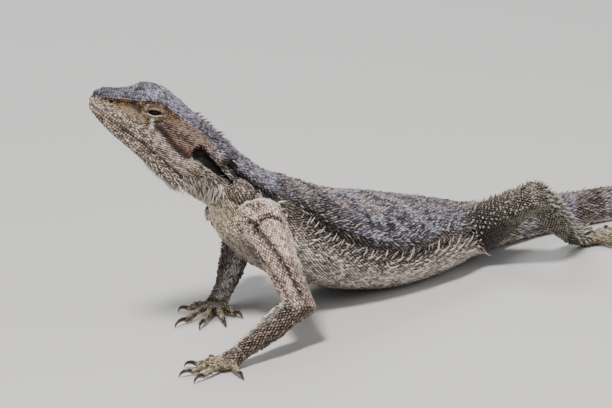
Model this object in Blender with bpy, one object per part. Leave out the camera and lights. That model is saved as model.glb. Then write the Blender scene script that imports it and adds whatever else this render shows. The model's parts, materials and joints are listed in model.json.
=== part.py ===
"""A bearded dragon, life size and still: chest raised on its forelegs, head up and turned, rear low
on the floor, tail laid out behind. Metres, +X towards the tail, +Y to the animal's right, +Z up, with
the origin under the belly on the floor."""
import math
import random

import bpy
import bmesh
import numpy as np
from mathutils import Vector

MM = 0.001
GAP = 0.3 * MM            # room between neighbouring pieces
WELD = 3e-7               # points closer than this are one point
SIDES = 24                # points round the head, neck and torso
RING_STEP = 0.34          # and the spacing of their rings, in sections
TAIL_SIDES = 14
LIMB_SIDES = 12
TOE_SIDES = 6
TOE_STEPS = 4.0 / 3.0     # rings to each length of a toe
CLAW_SIDES = 5

# Head: its snout tip, the way it points and its sections, all in mm
SNOUT = Vector((-136.3, 25.9, 114.0))
HEAD_BACK = Vector((0.673, -0.385, -0.631)).normalized()

# Each head section: distance behind the snout tip, then heights over the head's axis and half widths
# (crown, brow width, brow height, cheek width, cheek height, jaw width, jaw height, throat)
HEAD_SECTIONS = [
    (0.8, 5.0, 2.6, 3.4, 3.6, 1.2, 2.6, -1.0, -1.8),
    (3.3, 8.0, 4.8, 5.6, 6.2, 1.4, 4.8, -2.9, -3.9),
    (8.0, 10.2, 6.6, 7.8, 8.4, 1.2, 7.0, -4.8, -5.8),
    (12.4, 13.2, 7.8, 9.8, 10.0, 0.8, 8.6, -6.2, -7.2),
    (18.0, 19.0, 9.6, 12.8, 12.0, 0.6, 10.2, -7.2, -8.4),
    (25.0, 21.0, 12.0, 16.2, 14.2, 0.4, 12.2, -8.2, -9.5),
    (31.0, 20.2, 13.0, 16.6, 16.2, 0.2, 13.8, -9.4, -10.8),
    (37.0, 18.8, 13.2, 15.4, 18.2, -0.4, 15.6, -10.7, -12.4),
    (45.0, 17.2, 13.4, 13.4, 20.4, -1.4, 17.6, -12.3, -14.4),
    (51.0, 16.0, 13.6, 12.2, 20.8, -2.2, 18.0, -13.4, -15.5),
]
BROW_OVERHANG = 1.1       # how far the face below the brow is drawn in, mm

# Neck, torso and tail: centre, half width, rise to the back and drop to the belly, all in mm
TRUNK_SECTIONS = [
    ((-97.3, 3.6, 77.4), 17.6, 14.4, 12.8),
    ((-91.9, 3.0, 71.2), 17.2, 13.8, 14.9),
    ((-85.8, 1.0, 61.4), 18.8, 15.6, 12.4),
    ((-78.6, 0.0, 51.1), 24.0, 18.8, 17.6),
    ((-62.8, 0.0, 38.7), 31.0, 21.2, 21.6),
    ((-43.0, 0.0, 27.0), 37.0, 22.4, 21.4),
    ((-20.0, 0.0, 20.4), 40.5, 21.4, 21.3),
    ((2.0, 0.0, 17.0), 39.0, 17.0, 18.3),
    ((20.0, 0.0, 14.2), 30.5, 12.8, 15.3),
    ((36.0, -1.0, 11.4), 18.5, 9.6, 12.2),
    ((60.0, -6.0, 8.8), 12.4, 8.4, 9.2),
    ((85.0, -16.0, 7.5), 9.8, 7.4, 7.9),
    ((115.0, -30.0, 6.6), 8.0, 6.6, 7.0),
    ((150.0, -42.0, 5.6), 6.6, 5.7, 6.0),
    ((190.0, -48.0, 4.6), 5.3, 4.7, 5.0),
    ((230.0, -45.0, 3.7), 4.1, 3.8, 4.1),
    ((270.0, -34.0, 2.7), 3.0, 2.8, 3.1),
    ((300.0, -20.0, 1.5), 1.5, 1.5, 1.8),
]
RIDGE_SWELL = 1.045       # the dorsolateral edge stands out by this factor
FLANK_HOLLOW = 0.955      # and the flank below it is drawn in by this one
HEAD_COUNT = len(HEAD_SECTIONS)

# Where the long body is parted, counted in sections from the snout
SKULL_END = HEAD_COUNT + 0.0
NECK_END = HEAD_COUNT + 3.0
CHEST_END = HEAD_COUNT + 5.75
VENT = HEAD_COUNT + 9.0
TAIL_CUTS = (HEAD_COUNT + 11.5, HEAD_COUNT + 13.5, HEAD_COUNT + 15.3)
TAIL_TIP = HEAD_COUNT + 17.0

# Mouth line on the head's side: distance behind the snout tip and height over the head's axis, mm
MOUTH_LINE = ((-6.0, -0.4), (5.4, -1.6), (15.0, -2.4), (22.0, -2.6), (29.0, -3.2), (36.0, -4.8), (41.0, -6.0),
              (46.0, -24.0))

# Lips: a low ridge above and one below that line, as far back as the mouth opens
LIP_ENDS = (4.0, 31.0)
LIP_OFFSET = 1.0
LIP_RADIUS = 0.8
LIP_POINTS = 7

# Eyes, ears and nostrils, in the head's own measures, mm
EYE_BACK = 26.3
EYE_HEIGHT = 11.2
EYE_OUT = 9.6
EYE_RADIUS = 3.6
LID_LENGTH = 5.0
LID_HEIGHT = 3.0
LID_THICK = 0.9
SLIT_LENGTH = 3.3
SLIT_HEIGHT = 1.25
EYE_TILT = math.radians(22)   # the lids rise this much to the rear against the head's axis
EAR_BACK = 52.2
EAR_HEIGHT = 5.0
EAR_RADIUS = 3.0
EAR_DEPTH = 1.6
NOSTRIL_BACK = 8.2
NOSTRIL_HEIGHT = 4.9
NOSTRIL_RADIUS = 0.8

# Limbs: points down each limb with its radius there, mm; the joint between two nodes is the third point
LEFT_ARM = [((-84, -12, 52), 9.0), ((-86, -22, 49), 9.2), ((-91, -38, 36), 7.4), ((-95, -55, 19), 6.2),
            ((-110, -54.5, 13.5), 5.9), ((-126, -53, 7.2), 4.3)]
RIGHT_ARM = [((-78, 12, 50), 9.0), ((-78, 22, 47), 9.0), ((-69, 36, 38), 7.2), ((-57, 47, 27), 6.2),
             ((-67, 41, 17), 5.9), ((-78, 35, 7.2), 4.3)]
LEFT_LEG = [((20, -12, 14), 12.0), ((22, -24, 15.5), 11.5), ((27, -42, 25), 8.8), ((32, -60, 33), 6.8),
            ((45, -53, 21), 6.3), ((57, -46, 7.4), 4.4)]
RIGHT_LEG = [((20, 12, 13), 12.0), ((17, 23, 13.8), 11.5), ((5, 36, 16), 8.8), ((-9, 50, 19), 6.8),
             ((-1, 60, 13.5), 6.3), ((8, 68, 7.2), 4.4)]
JOINT_POINT = 3           # index of the elbow or knee in these lists
JOINT_PAST = 0.7          # how far each length of a limb runs on past the joint, in radii

# Hands and feet: palm centre and, for each digit from the inner one, where its claw meets the floor
LEFT_HAND = ((-134, -51.5, 3.8), [(-131, -31), (-143, -29), (-153, -40), (-155, -55), (-140, -72)])
RIGHT_HAND = ((-86, 30, 3.8), [(-86, 9), (-98, 5), (-107, 13), (-111, 27), (-96, 47)])
LEFT_FOOT = ((66, -50, 3.8), [(84, -38), (92, -48), (99, -60), (99, -74), (68, -74)])
RIGHT_FOOT = ((1, 75, 3.8), [(-12, 58), (-22, 65), (-31, 75), (-32, 88), (-2, 97)])
HAND_HALF_WIDTH = 5.6
FOOT_HALF_WIDTH = 5.8
PALM_THICK = 3.0
TOE_RADIUS = 1.75
CLAW_SHARE = 0.3          # part of each digit's reach that is claw
CLAW_RADIUS = 1.15

# The fold behind each ear: distance behind the snout tip and height over the head's axis, mm
EAR_FOLD = ((54.5, 4.4), (58.5, 3.2), (63.0, 1.9), (68.5, 0.6))
EAR_FOLD_RADIUS = 2.1

# Rows of spines on the long body: from and to in sections, places round the body, how many, length and
# root radius
SPINE_ROWS = [
    (HEAD_COUNT - 0.9, HEAD_COUNT - 0.9, (0.5, 1.05, 1.55), 1, 3.6, 1.1),
    (HEAD_COUNT - 0.4, HEAD_COUNT + 2.6, (0.7, 1.6), 7, 2.6, 1.0),
    (HEAD_COUNT - 3.2, HEAD_COUNT - 0.3, (4.35,), 7, 3.0, 0.9),
    (HEAD_COUNT - 2.2, HEAD_COUNT - 0.3, (4.9,), 5, 3.8, 1.0),
    (HEAD_COUNT + 0.2, HEAD_COUNT + 1.9, (3.3, 3.9, 4.5, 5.1), 4, 4.2, 1.05),
    (HEAD_COUNT + 2.9, HEAD_COUNT + 8.7, (0.0,), 17, 1.9, 1.1),
    (HEAD_COUNT + 3.1, HEAD_COUNT + 8.8, (0.75,), 17, 2.1, 1.1),
    (HEAD_COUNT + 2.8, HEAD_COUNT + 8.6, (1.45,), 17, 2.3, 1.1),
    (HEAD_COUNT + 3.2, HEAD_COUNT + 8.9, (2.1,), 25, 3.4, 1.1),
    (HEAD_COUNT + 3.6, HEAD_COUNT + 8.5, (2.75,), 20, 2.7, 1.0),
    (HEAD_COUNT + 9.1, HEAD_COUNT + 16.2, (0.9,), 24, 2.2, 0.9),
    (HEAD_COUNT + 9.1, HEAD_COUNT + 15.6, (2.3,), 22, 2.6, 0.9),
]
SPINE_SIDES = 4
SPINE_LEAN = 1.1          # how far spines lean to the tail for each unit that they stand out
SPINE_VARIES = 0.22       # share by which their sizes vary
SPINE_SEED = 11
END_ROOM = 0.6            # room that spines keep to the end of their node, mm
LIMB_ROOM = 1.4           # and to the limbs

# Spines on each length of a hind leg: turns round it in degrees from its top, how many, length and root
# radius
LEG_SPINE_ROWS = ((-45, 5, 50), 5, 1.9, 0.9)
THIGH_SPINES = (1.5, 2.6)   # from and to, counted in the points of the upper and of the lower length
SHANK_SPINES = (1.5, 2.75)

SKIN_BACK = (0.36, 0.33, 0.33)
SKIN_LIMB = (0.40, 0.33, 0.25)
SKIN_HEAD = (0.42, 0.36, 0.28)
SKIN_TAIL = (0.38, 0.34, 0.30)
EYE_DARK = (0.03, 0.02, 0.02)


def clear_scene():
    for item in list(bpy.data.objects):
        bpy.data.objects.remove(item, do_unlink=True)


def make_material(name, colour, roughness):
    material = bpy.data.materials.new(name)
    material.use_nodes = True
    shader = material.node_tree.nodes["Principled BSDF"]
    shader.inputs["Base Color"].default_value = (*colour, 1.0)
    shader.inputs["Roughness"].default_value = roughness
    shader.inputs["Metallic"].default_value = 0.0
    return material


def catmull(a, b, c, d, t):
    """The smooth curve from b to c, with a and d beyond them."""
    return 0.5 * (2 * b + (c - a) * t + (2 * a - 5 * b + 4 * c - d) * t * t + (3 * b - a - 3 * c + d) * t ** 3)


def along(values, s):
    """A value at place s of an open list, smooth between its entries."""
    last = len(values) - 1
    i = min(int(s), last - 1)
    t = s - i
    return catmull(values[max(i - 1, 0)], values[i], values[i + 1], values[min(i + 2, last)], t)


def head_outline(section):
    """Seven points down the left side of a head section, from the crown to the throat."""
    _, crown, brow_w, brow_h, cheek_w, cheek_h, jaw_w, jaw_h, throat = section
    orbit = (0.45 * brow_w + 0.55 * cheek_w - BROW_OVERHANG, 0.55 * brow_h + 0.45 * cheek_h)
    lip = (0.5 * (cheek_w + jaw_w) + 0.25, 0.5 * (cheek_h + jaw_h))
    return np.array([(0, crown), (brow_w, brow_h), orbit, (cheek_w, cheek_h), lip, (jaw_w, jaw_h), (0, throat)])


def trunk_outline(half_width, rise, drop):
    """The same seven points on the neck, torso or tail: back, edge, flank and belly."""
    outline = [(0.0, rise)]
    for angle, factor in ((60, 1.0), (33, RIDGE_SWELL), (6, FLANK_HOLLOW), (-24, 1.0), (-58, 1.04)):
        turn = math.radians(angle)
        height = rise if angle > 0 else drop
        outline.append((factor * half_width * math.cos(turn), factor * height * math.sin(turn)))
    outline.append((0.0, -drop))
    return np.array(outline)


CENTRES = [np.array(SNOUT + HEAD_BACK * section[0]) for section in HEAD_SECTIONS]
CENTRES += [np.array(section[0], float) for section in TRUNK_SECTIONS]
OUTLINES = [head_outline(section) for section in HEAD_SECTIONS]
OUTLINES += [trunk_outline(*section[1:]) for section in TRUNK_SECTIONS]


def body_frame(s):
    """Centre, direction to the tail, the animal's left and its up, at place s along the body."""
    centre = along(CENTRES, s)
    step = 0.35
    ahead = along(CENTRES, min(s + step, TAIL_TIP)) - along(CENTRES, max(s - step, 0.0))
    back = Vector(ahead).normalized()
    left = back.cross(Vector((0, 0, 1))).normalized()
    return Vector(centre), back, left, left.cross(back)


def body_point(s, q, grow=0.0):
    """A point of the body's surface: place s along it, and q round it from 0 at the back to 12."""
    half = along(OUTLINES, s)
    ring = [half[min(k, 12 - k)] * ((1 if k <= 6 else -1), 1) for k in range(12)]
    i = int(q) % 12
    place = catmull(ring[i - 1], ring[i], ring[(i + 1) % 12], ring[(i + 2) % 12], q - int(q))
    centre, back, left, up = body_frame(s)
    size = float(np.hypot(*place))
    if size > 1e-6:
        place = place * (size + grow) / size
    return centre + left * float(place[0]) + up * float(place[1])


def body_ring(s, sides, grow=0.0, shift=0.0):
    back = body_frame(s)[1]
    return [body_point(s, 12.0 * k / sides, grow) + back * shift for k in range(sides)]


def add_object(name, mesh, material):
    mesh.name = name
    item = bpy.data.objects.new(name, mesh)
    bpy.context.scene.collection.objects.link(item)
    if material is not None:
        item.data.materials.clear()
        item.data.materials.append(material)
    return item


def loft(rings, name="loft"):
    """A closed skin over rings of points given in mm, flat at both ends."""
    bm = bmesh.new()
    rows = [[bm.verts.new(Vector(p) * MM) for p in ring] for ring in rings]
    sides = len(rings[0])
    for near, far in zip(rows, rows[1:]):
        for k in range(sides):
            bm.faces.new((near[k], near[(k + 1) % sides], far[(k + 1) % sides], far[k]))
    bm.faces.new(rows[0])
    bm.faces.new(rows[-1])
    bm.normal_update()
    bmesh.ops.recalc_face_normals(bm, faces=bm.faces)
    mesh = bpy.data.meshes.new(name)
    bm.to_mesh(mesh)
    bm.free()
    return mesh


def body_length(start, end, step, sides, grow=0.0, trim_start=True, trim_end=True):
    """The stretch of body between two places, its ends set back by half the gap."""
    count = max(2, int(round((end - start) / step)) + 1)
    half_gap = 0.5 * GAP / MM
    rings = []
    for i in range(count):
        s = start + (end - start) * i / (count - 1)
        shift = 0.0
        if i == 0 and trim_start:
            shift = half_gap
        if i == count - 1 and trim_end:
            shift = -half_gap
        rings.append(body_ring(s, sides, grow, shift))
    return loft(rings)


def round_ring(centre, side, up, wide, high, sides):
    turns = [2 * math.pi * k / sides for k in range(sides)]
    return [centre + side * (wide * math.cos(t)) + up * (high * math.sin(t)) for t in turns]


def path_frame(nodes, s):
    """Centre, direction, side and up of a smooth path at place s of its named points."""
    reach = 0.5
    low, high = max(s - reach, 0.0), min(s + reach, len(nodes) - 1.0)
    back = Vector(along(nodes, high) - along(nodes, low)).normalized()
    side = back.cross(Vector((0, 0, 1)))
    if side.length < 0.2:
        side = back.cross(Vector((0.3, 1, 0)))
    side.normalize()
    return Vector(along(nodes, s)), back, side, side.cross(back)


def tube(points, radii, steps, sides, shift_start=0.0, shift_end=0.0, span=None):
    """A round limb through named points, smooth between them."""
    nodes = [np.array(p, float) for p in points]
    sizes = [np.array([r, 0.0]) for r in radii]
    start, end = span or (0.0, len(nodes) - 1.0)
    rings = []
    count = int(round((end - start) * steps)) + 1
    for i in range(count):
        s = start + (end - start) * i / (count - 1)
        centre, back, side, up = path_frame(nodes, s)
        shift = shift_start if i == 0 else (shift_end if i == count - 1 else 0.0)
        radius = float(along(sizes, s)[0])
        rings.append(round_ring(centre + back * shift, side, up, radius, radius, sides))
    return loft(rings)


def box_mesh(low, high):
    bm = bmesh.new()
    bmesh.ops.create_cube(bm, size=1.0)
    for vert in bm.verts:
        vert.co = Vector([a + (b - a) * (c + 0.5) for a, b, c in zip(low, high, vert.co)])
    mesh = bpy.data.meshes.new("box")
    bm.to_mesh(mesh)
    bm.free()
    return mesh


def ellipsoid(centre, axes, sizes, rings=8, sides=12):
    """An ellipsoid on three directions, centre and sizes in mm."""
    bm = bmesh.new()
    bmesh.ops.create_uvsphere(bm, u_segments=sides, v_segments=rings, radius=1.0)
    for vert in bm.verts:
        x, y, z = vert.co
        place = centre + axes[0] * (sizes[0] * x) + axes[1] * (sizes[1] * y) + axes[2] * (sizes[2] * z)
        vert.co = place * MM
    bm.normal_update()
    bmesh.ops.recalc_face_normals(bm, faces=bm.faces)
    mesh = bpy.data.meshes.new("ellipsoid")
    bm.to_mesh(mesh)
    bm.free()
    return mesh


def hoop(centre, axes, radii, thick, turns=16, sides=6):
    """A closed ring of round section on the plane of the first two axes, in mm."""
    bm = bmesh.new()
    rows = []
    for i in range(turns):
        a = 2 * math.pi * i / turns
        out = (axes[0] * (radii[0] * math.cos(a)) + axes[1] * (radii[1] * math.sin(a)))
        row = []
        for j in range(sides):
            b = 2 * math.pi * j / sides
            place = centre + out + out.normalized() * (thick * math.cos(b)) + axes[2] * (thick * math.sin(b))
            row.append(bm.verts.new(place * MM))
        rows.append(row)
    for i in range(turns):
        near, far = rows[i], rows[(i + 1) % turns]
        for j in range(sides):
            bm.faces.new((near[j], near[(j + 1) % sides], far[(j + 1) % sides], far[j]))
    bm.normal_update()
    bmesh.ops.recalc_face_normals(bm, faces=bm.faces)
    mesh = bpy.data.meshes.new("hoop")
    bm.to_mesh(mesh)
    bm.free()
    return mesh


def evaluated(item):
    graph = bpy.context.evaluated_depsgraph_get()
    return bpy.data.meshes.new_from_object(item.evaluated_get(graph))


def boolean(mesh, others, operation, solver="EXACT"):
    """One Boolean of a closed mesh with a collection of closed meshes, applied."""
    base = add_object("base", mesh, None)
    group = bpy.data.collections.new("operands")
    bpy.context.scene.collection.children.link(group)
    for other in others:
        item = bpy.data.objects.new("operand", other)
        item.hide_render = True
        item.display_type = "WIRE"
        group.objects.link(item)
    modifier = base.modifiers.new("join", "BOOLEAN")
    modifier.operation = operation
    modifier.operand_type = "COLLECTION"
    modifier.collection = group
    modifier.solver = solver
    result = evaluated(base)
    for item in list(group.objects):
        bpy.data.objects.remove(item, do_unlink=True)
    bpy.data.collections.remove(group)
    bpy.data.objects.remove(base, do_unlink=True)
    return result


def shells(mesh):
    """The closed surfaces of a mesh, each as a mesh of its own, largest first."""
    bm = bmesh.new()
    bm.from_mesh(mesh)
    bmesh.ops.remove_doubles(bm, verts=bm.verts, dist=WELD)
    bmesh.ops.dissolve_degenerate(bm, edges=bm.edges, dist=WELD)
    bm.faces.ensure_lookup_table()
    seen = set()
    parts = []
    for face in bm.faces:
        if face.index in seen:
            continue
        seen.add(face.index)
        island, queue = [], [face]
        while queue:
            current = queue.pop()
            island.append(current)
            for edge in current.edges:
                for other in edge.link_faces:
                    if other.index not in seen:
                        seen.add(other.index)
                        queue.append(other)
        parts.append(island)
    parts.sort(key=lambda island: -sum(f.calc_area() for f in island))
    meshes = []
    for island in parts:
        piece = bmesh.new()
        copies = {}
        for face in island:
            for vert in face.verts:
                if vert not in copies:
                    copies[vert] = piece.verts.new(vert.co)
        for face in island:
            piece.faces.new([copies[vert] for vert in face.verts])
        piece.normal_update()
        bmesh.ops.recalc_face_normals(piece, faces=piece.faces)
        part = bpy.data.meshes.new("shell")
        piece.to_mesh(part)
        piece.free()
        meshes.append(part)
    bm.free()
    return meshes


def spine(root, out, lean, length, radius):
    """One tapered spine whose base is sunk below the skin, as a closed mesh, in mm."""
    direction = (out + lean * SPINE_LEAN).normalized()
    side = direction.orthogonal().normalized()
    up = direction.cross(side)
    base = root - direction * radius * 1.1
    bm = bmesh.new()
    ring = []
    for k in range(SPINE_SIDES):
        turn = 2 * math.pi * k / SPINE_SIDES
        place = base + side * (radius * math.cos(turn)) + up * (radius * math.sin(turn))
        ring.append(bm.verts.new(place * MM))
    tip = bm.verts.new((root + direction * length) * MM)
    bm.faces.new(ring)
    for k in range(SPINE_SIDES):
        bm.faces.new((ring[k], ring[(k + 1) % SPINE_SIDES], tip))
    bm.normal_update()
    bmesh.ops.recalc_face_normals(bm, faces=bm.faces)
    mesh = bpy.data.meshes.new("spine")
    bm.to_mesh(mesh)
    bm.free()
    return mesh


def clear_of_limbs(place):
    """Whether a point keeps well away from every arm and leg."""
    for limb in (LEFT_ARM, RIGHT_ARM, LEFT_LEG, RIGHT_LEG):
        for (near, near_radius), (far, far_radius) in zip(limb, limb[1:]):
            near, far = Vector(near), Vector(far)
            run = far - near
            share = min(max((place - near).dot(run) / run.length_squared, 0.0), 1.0)
            radius = near_radius + (far_radius - near_radius) * share
            if (place - near - run * share).length < radius + LIMB_ROOM:
                return False
    return True


def body_spines(start, end):
    """The spines of one length of the body, none of them reaching its ends, a limb or the floor."""
    draw = random.Random(SPINE_SEED + int(start * 10))
    spines = []
    first, last = body_frame(start)[0], body_frame(end)[0]
    for low, high, places, count, length, radius in SPINE_ROWS:
        for k in range(count):
            s = low + (high - low) * (k / max(count - 1, 1))
            centre, back, _, _ = body_frame(s)
            for q in places:
                for around in ((q, 12.0 - q) if q > 0 else (q,)):
                    size = 1.0 + SPINE_VARIES * draw.uniform(-1, 1)
                    turn = around + 0.08 * draw.uniform(-1, 1)
                    if not start < s < end:
                        continue
                    reach = length * size * 0.85 + radius + END_ROOM
                    if (centre - last).length < reach or (centre - first).length < radius * 2 + END_ROOM:
                        continue
                    root = body_point(s, turn)
                    out = (root - centre).normalized()
                    tip = root + (out + back * SPINE_LEAN).normalized() * length * size
                    if clear_of_limbs(root) and clear_of_limbs(tip) and tip.z > 1.0:
                        spines.append(spine(root, out, back, length * size, radius * size))
    return spines


def leg_spines(points, radii, start, end):
    """The spines of one length of a hind leg, in rows along its upper side."""
    turns, count, length, radius = LEG_SPINE_ROWS
    draw = random.Random(SPINE_SEED + int(start * 10))
    nodes = [np.array(p, float) for p in points]
    sizes = [np.array([r, 0.0]) for r in radii]
    spines = []
    for k in range(count):
        s = start + (end - start) * k / (count - 1)
        centre, run, side, up = path_frame(nodes, s)
        for turn in turns:
            size = 1.0 + SPINE_VARIES * draw.uniform(-1, 1)
            angle = math.radians(turn)
            out = up * math.cos(angle) + side * math.sin(angle)
            root = centre + out * (float(along(sizes, s)[0]) * 0.97)
            spines.append(spine(root, out, run, length * size, radius * size))
    return spines


def fused(mesh, spines):
    """A node and its spines as one closed body."""
    if not spines:
        return mesh
    return shells(boolean(mesh, spines, "UNION", "MANIFOLD"))[0]


FLOOR_LOW = (-0.25, -0.25, -0.05)
FLOOR_HIGH = (0.4, 0.25, 0.0)


def stand_on_floor(mesh):
    """Whatever would reach below the floor is cut to a small flat on it."""
    return shells(boolean(mesh, [box_mesh(FLOOR_LOW, FLOOR_HIGH)], "DIFFERENCE"))[0]


def head_place(t, h, w):
    """A point given in the head's own measures: t behind the snout, h over its axis, w to its left."""
    left = HEAD_BACK.cross(Vector((0, 0, 1))).normalized()
    return SNOUT + HEAD_BACK * t + left.cross(HEAD_BACK) * h + left * w


def head_axes():
    left = HEAD_BACK.cross(Vector((0, 0, 1))).normalized()
    return HEAD_BACK.copy(), left.cross(HEAD_BACK), left


def head_surface(t, h):
    """Half width of the head at t behind the snout and h over its axis."""
    steps = [section[0] for section in HEAD_SECTIONS]
    i = max(k for k in range(len(steps) - 1) if steps[k] <= t or k == 0)
    s = i + (t - steps[i]) / (steps[i + 1] - steps[i])
    half = along(OUTLINES, s)
    for (w0, h0), (w1, h1) in zip(half, half[1:]):
        if h1 <= h <= h0:
            return float(w0 + (w1 - w0) * (h0 - h) / (h0 - h1))
    return float(half[3][0])


def make_head(skin, dark):
    """Skull with brows, lids, ear cups and nostrils, parted from the lower jaw along the mouth."""
    back, up, left = head_axes()
    lid_back = back * math.cos(EYE_TILT) + up * math.sin(EYE_TILT)
    lid_up = up * math.cos(EYE_TILT) - back * math.sin(EYE_TILT)
    mass = body_length(0.0, SKULL_END, 0.5, SIDES, trim_start=False)
    raised, hollows, eyeballs = [], [], []
    for name, side in (("eye_left", 1), ("eye_right", -1)):
        out = left * side
        centre = head_place(EYE_BACK, EYE_HEIGHT, EYE_OUT * side)
        lid_sizes = (LID_LENGTH, LID_HEIGHT, EYE_RADIUS + LID_THICK)
        raised.append(ellipsoid(centre, (lid_back, lid_up, out), lid_sizes, 6, 12))
        gap = GAP / MM
        hollows.append(ellipsoid(centre, (back, up, out), [EYE_RADIUS + gap] * 3, 8, 12))
        slit = head_place(EYE_BACK, EYE_HEIGHT, (EYE_OUT + EYE_RADIUS) * side)
        hollows.append(ellipsoid(slit, (lid_back, lid_up, out), (SLIT_LENGTH, SLIT_HEIGHT, 2.6), 6, 10))
        eyeballs.append((name, ellipsoid(centre, (back, up, out), [EYE_RADIUS] * 3, 8, 12)))
        ear = head_place(EAR_BACK, EAR_HEIGHT, head_surface(EAR_BACK, EAR_HEIGHT) * side)
        raised.append(hoop(ear - out * 0.2, (back, up, out), (EAR_RADIUS * 0.8, EAR_RADIUS), 0.8, 12, 5))
        cup = (EAR_RADIUS * 0.72, EAR_RADIUS * 0.9, EAR_DEPTH)
        hollows.append(ellipsoid(ear, (back, up, out), cup, 6, 10))
        width = head_surface(NOSTRIL_BACK, NOSTRIL_HEIGHT)
        nostril = head_place(NOSTRIL_BACK, NOSTRIL_HEIGHT, width * side)
        raised.append(ellipsoid(nostril - out * 0.6, (back, up, out), (1.9, 1.7, 1.4), 6, 8))
        opening = (NOSTRIL_RADIUS, NOSTRIL_RADIUS, 1.6)
        hollows.append(ellipsoid(nostril + out * 0.6, (back, up, out), opening, 6, 8))
        hollows.append(ear_fold(side))
        raised += [lip_ridge(side, offset) for offset in (LIP_OFFSET, -LIP_OFFSET)]
    mass = boolean(mass, raised, "UNION")
    mass = fused(mass, body_spines(0.0, SKULL_END))
    mass = boolean(mass, hollows, "DIFFERENCE")
    mass = boolean(mass, [mouth_cutter()], "DIFFERENCE")
    parts = shells(mass)
    add_object("head", parts[0], skin)
    add_object("jaw", parts[1], skin)
    for name, mesh in eyeballs:
        add_object(name, mesh, dark)


def ear_fold(side):
    """The cutter of the deep fold that runs back from the ear, on the side given as 1 or -1."""
    width = head_surface(EAR_BACK, EAR_HEIGHT)
    points = [tuple(head_place(t, h, (width + 0.3) * side)) for t, h in EAR_FOLD]
    return tube(points, [EAR_FOLD_RADIUS * share for share in (0.9, 1.0, 0.8, 0.4)], 1, 8)


def lip_ridge(side, offset):
    """A lip along the mouth line on one side, above it or below it by the offset."""
    first, last = LIP_ENDS
    behind, heights = zip(*MOUTH_LINE)
    points = []
    for k in range(LIP_POINTS):
        t = first + (last - first) * k / (LIP_POINTS - 1)
        h = float(np.interp(t, behind, heights)) + offset
        points.append(tuple(head_place(t, h, (head_surface(t, h) - 0.5 * LIP_RADIUS) * side)))
    radii = [LIP_RADIUS * share for share in (0.7,) + (1.0,) * (LIP_POINTS - 2) + (0.5,)]
    return tube(points, radii, 1, TOE_SIDES)


def mouth_cutter():
    """A sheet as thick as the gap along the mouth line, right through the head."""
    half = 0.5 * GAP / MM
    reach = 40.0
    lower, upper = [], []
    for i, (t, h) in enumerate(MOUTH_LINE):
        before = MOUTH_LINE[max(i - 1, 0)]
        after = MOUTH_LINE[min(i + 1, len(MOUTH_LINE) - 1)]
        run = Vector((after[0] - before[0], after[1] - before[1])).normalized()
        normal = Vector((-run.y, run.x)) * half
        lower.append((t - normal.x, h - normal.y))
        upper.append((t + normal.x, h + normal.y))
    outline = lower + upper[::-1]
    rings = [[head_place(t, h, side * reach) for t, h in outline] for side in (1, -1)]
    return loft(rings)


def block_beyond(centre, normal, size=70.0):
    """A block whose near face lies at centre, square to normal, to cut off what is beyond it."""
    side = normal.orthogonal().normalized()
    up = normal.cross(side)
    corners = ((1, 1), (-1, 1), (-1, -1), (1, -1))
    near = [centre + (side * a + up * b) * (size * 0.5) for a, b in corners]
    return loft([near, [corner + normal * size for corner in near]])


def limb_lengths(nodes, palm):
    """The two straight lengths of a limb, each as points and radii run on a little past the joint."""
    points = [Vector(p) for p, _ in nodes] + [Vector(palm)]
    radii = [r for _, r in nodes] + [nodes[-1][1]]
    joint = points[JOINT_POINT]
    before = (joint - points[JOINT_POINT - 1]).normalized()
    after = (points[JOINT_POINT + 1] - joint).normalized()
    past = radii[JOINT_POINT] * JOINT_PAST
    upper = (points[:JOINT_POINT + 1] + [joint + before * past], radii[:JOINT_POINT + 1] + [radii[JOINT_POINT]])
    lower = ([joint - after * past] + points[JOINT_POINT:], [radii[JOINT_POINT]] + radii[JOINT_POINT:])
    return upper, lower, joint, (before + after).normalized()


def make_limb(names, nodes, palm, steps, skin, body):
    """Upper and lower length of a limb, the upper one fitted against the torso, parted at the joint."""
    half = 0.5 * GAP / MM
    upper_path, lower_path, joint, run = limb_lengths(nodes, palm)
    upper = tube(*upper_path, steps, LIMB_SIDES)
    lower = tube(*lower_path, steps, LIMB_SIDES, shift_end=-half, span=(0.0, len(lower_path[0]) - 2.0))
    if "thigh" in names[0]:
        upper = fused(upper, leg_spines(*upper_path, *THIGH_SPINES))
        lower = fused(lower, leg_spines(*lower_path, *SHANK_SPINES))
    upper = boolean(upper, [block_beyond(joint - run * half, run), body], "DIFFERENCE", "MANIFOLD")
    lower = boolean(lower, [block_beyond(joint + run * half, -run)], "DIFFERENCE", "MANIFOLD")
    add_object(names[0], shells(upper)[0], skin)
    add_object(names[1], shells(lower)[0], skin)


def digit(knuckle, floor_point):
    """One toe and its curved claw, as two lofts that run into each other."""
    foot = Vector((floor_point[0], floor_point[1], 0.0))
    reach = foot - Vector((knuckle.x, knuckle.y, 0.0))
    run = reach.normalized()
    length = reach.length
    toe_length = length * (1 - CLAW_SHARE)
    joints = [knuckle, knuckle + run * toe_length * 0.38 + Vector((0, 0, 0.9)),
              knuckle + run * toe_length * 0.72 + Vector((0, 0, -0.3)), knuckle + run * toe_length]
    joints[3].z = 2.0
    toe = tube([tuple(p) for p in joints], [TOE_RADIUS * 1.1, TOE_RADIUS, TOE_RADIUS * 0.9, TOE_RADIUS * 0.8],
               TOE_STEPS, TOE_SIDES)
    claw_length = length * CLAW_SHARE
    root = joints[3] - run * 1.4
    claw = [root, joints[3] + run * claw_length * 0.4 + Vector((0, 0, 0.7)),
            joints[3] + run * claw_length * 0.8 + Vector((0, 0, -0.5)), foot + Vector((0, 0, 0.15))]
    nail = tube([tuple(p) for p in claw], [CLAW_RADIUS, CLAW_RADIUS, CLAW_RADIUS * 0.7, 0.12], 1, CLAW_SIDES)
    return [toe, nail]


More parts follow.
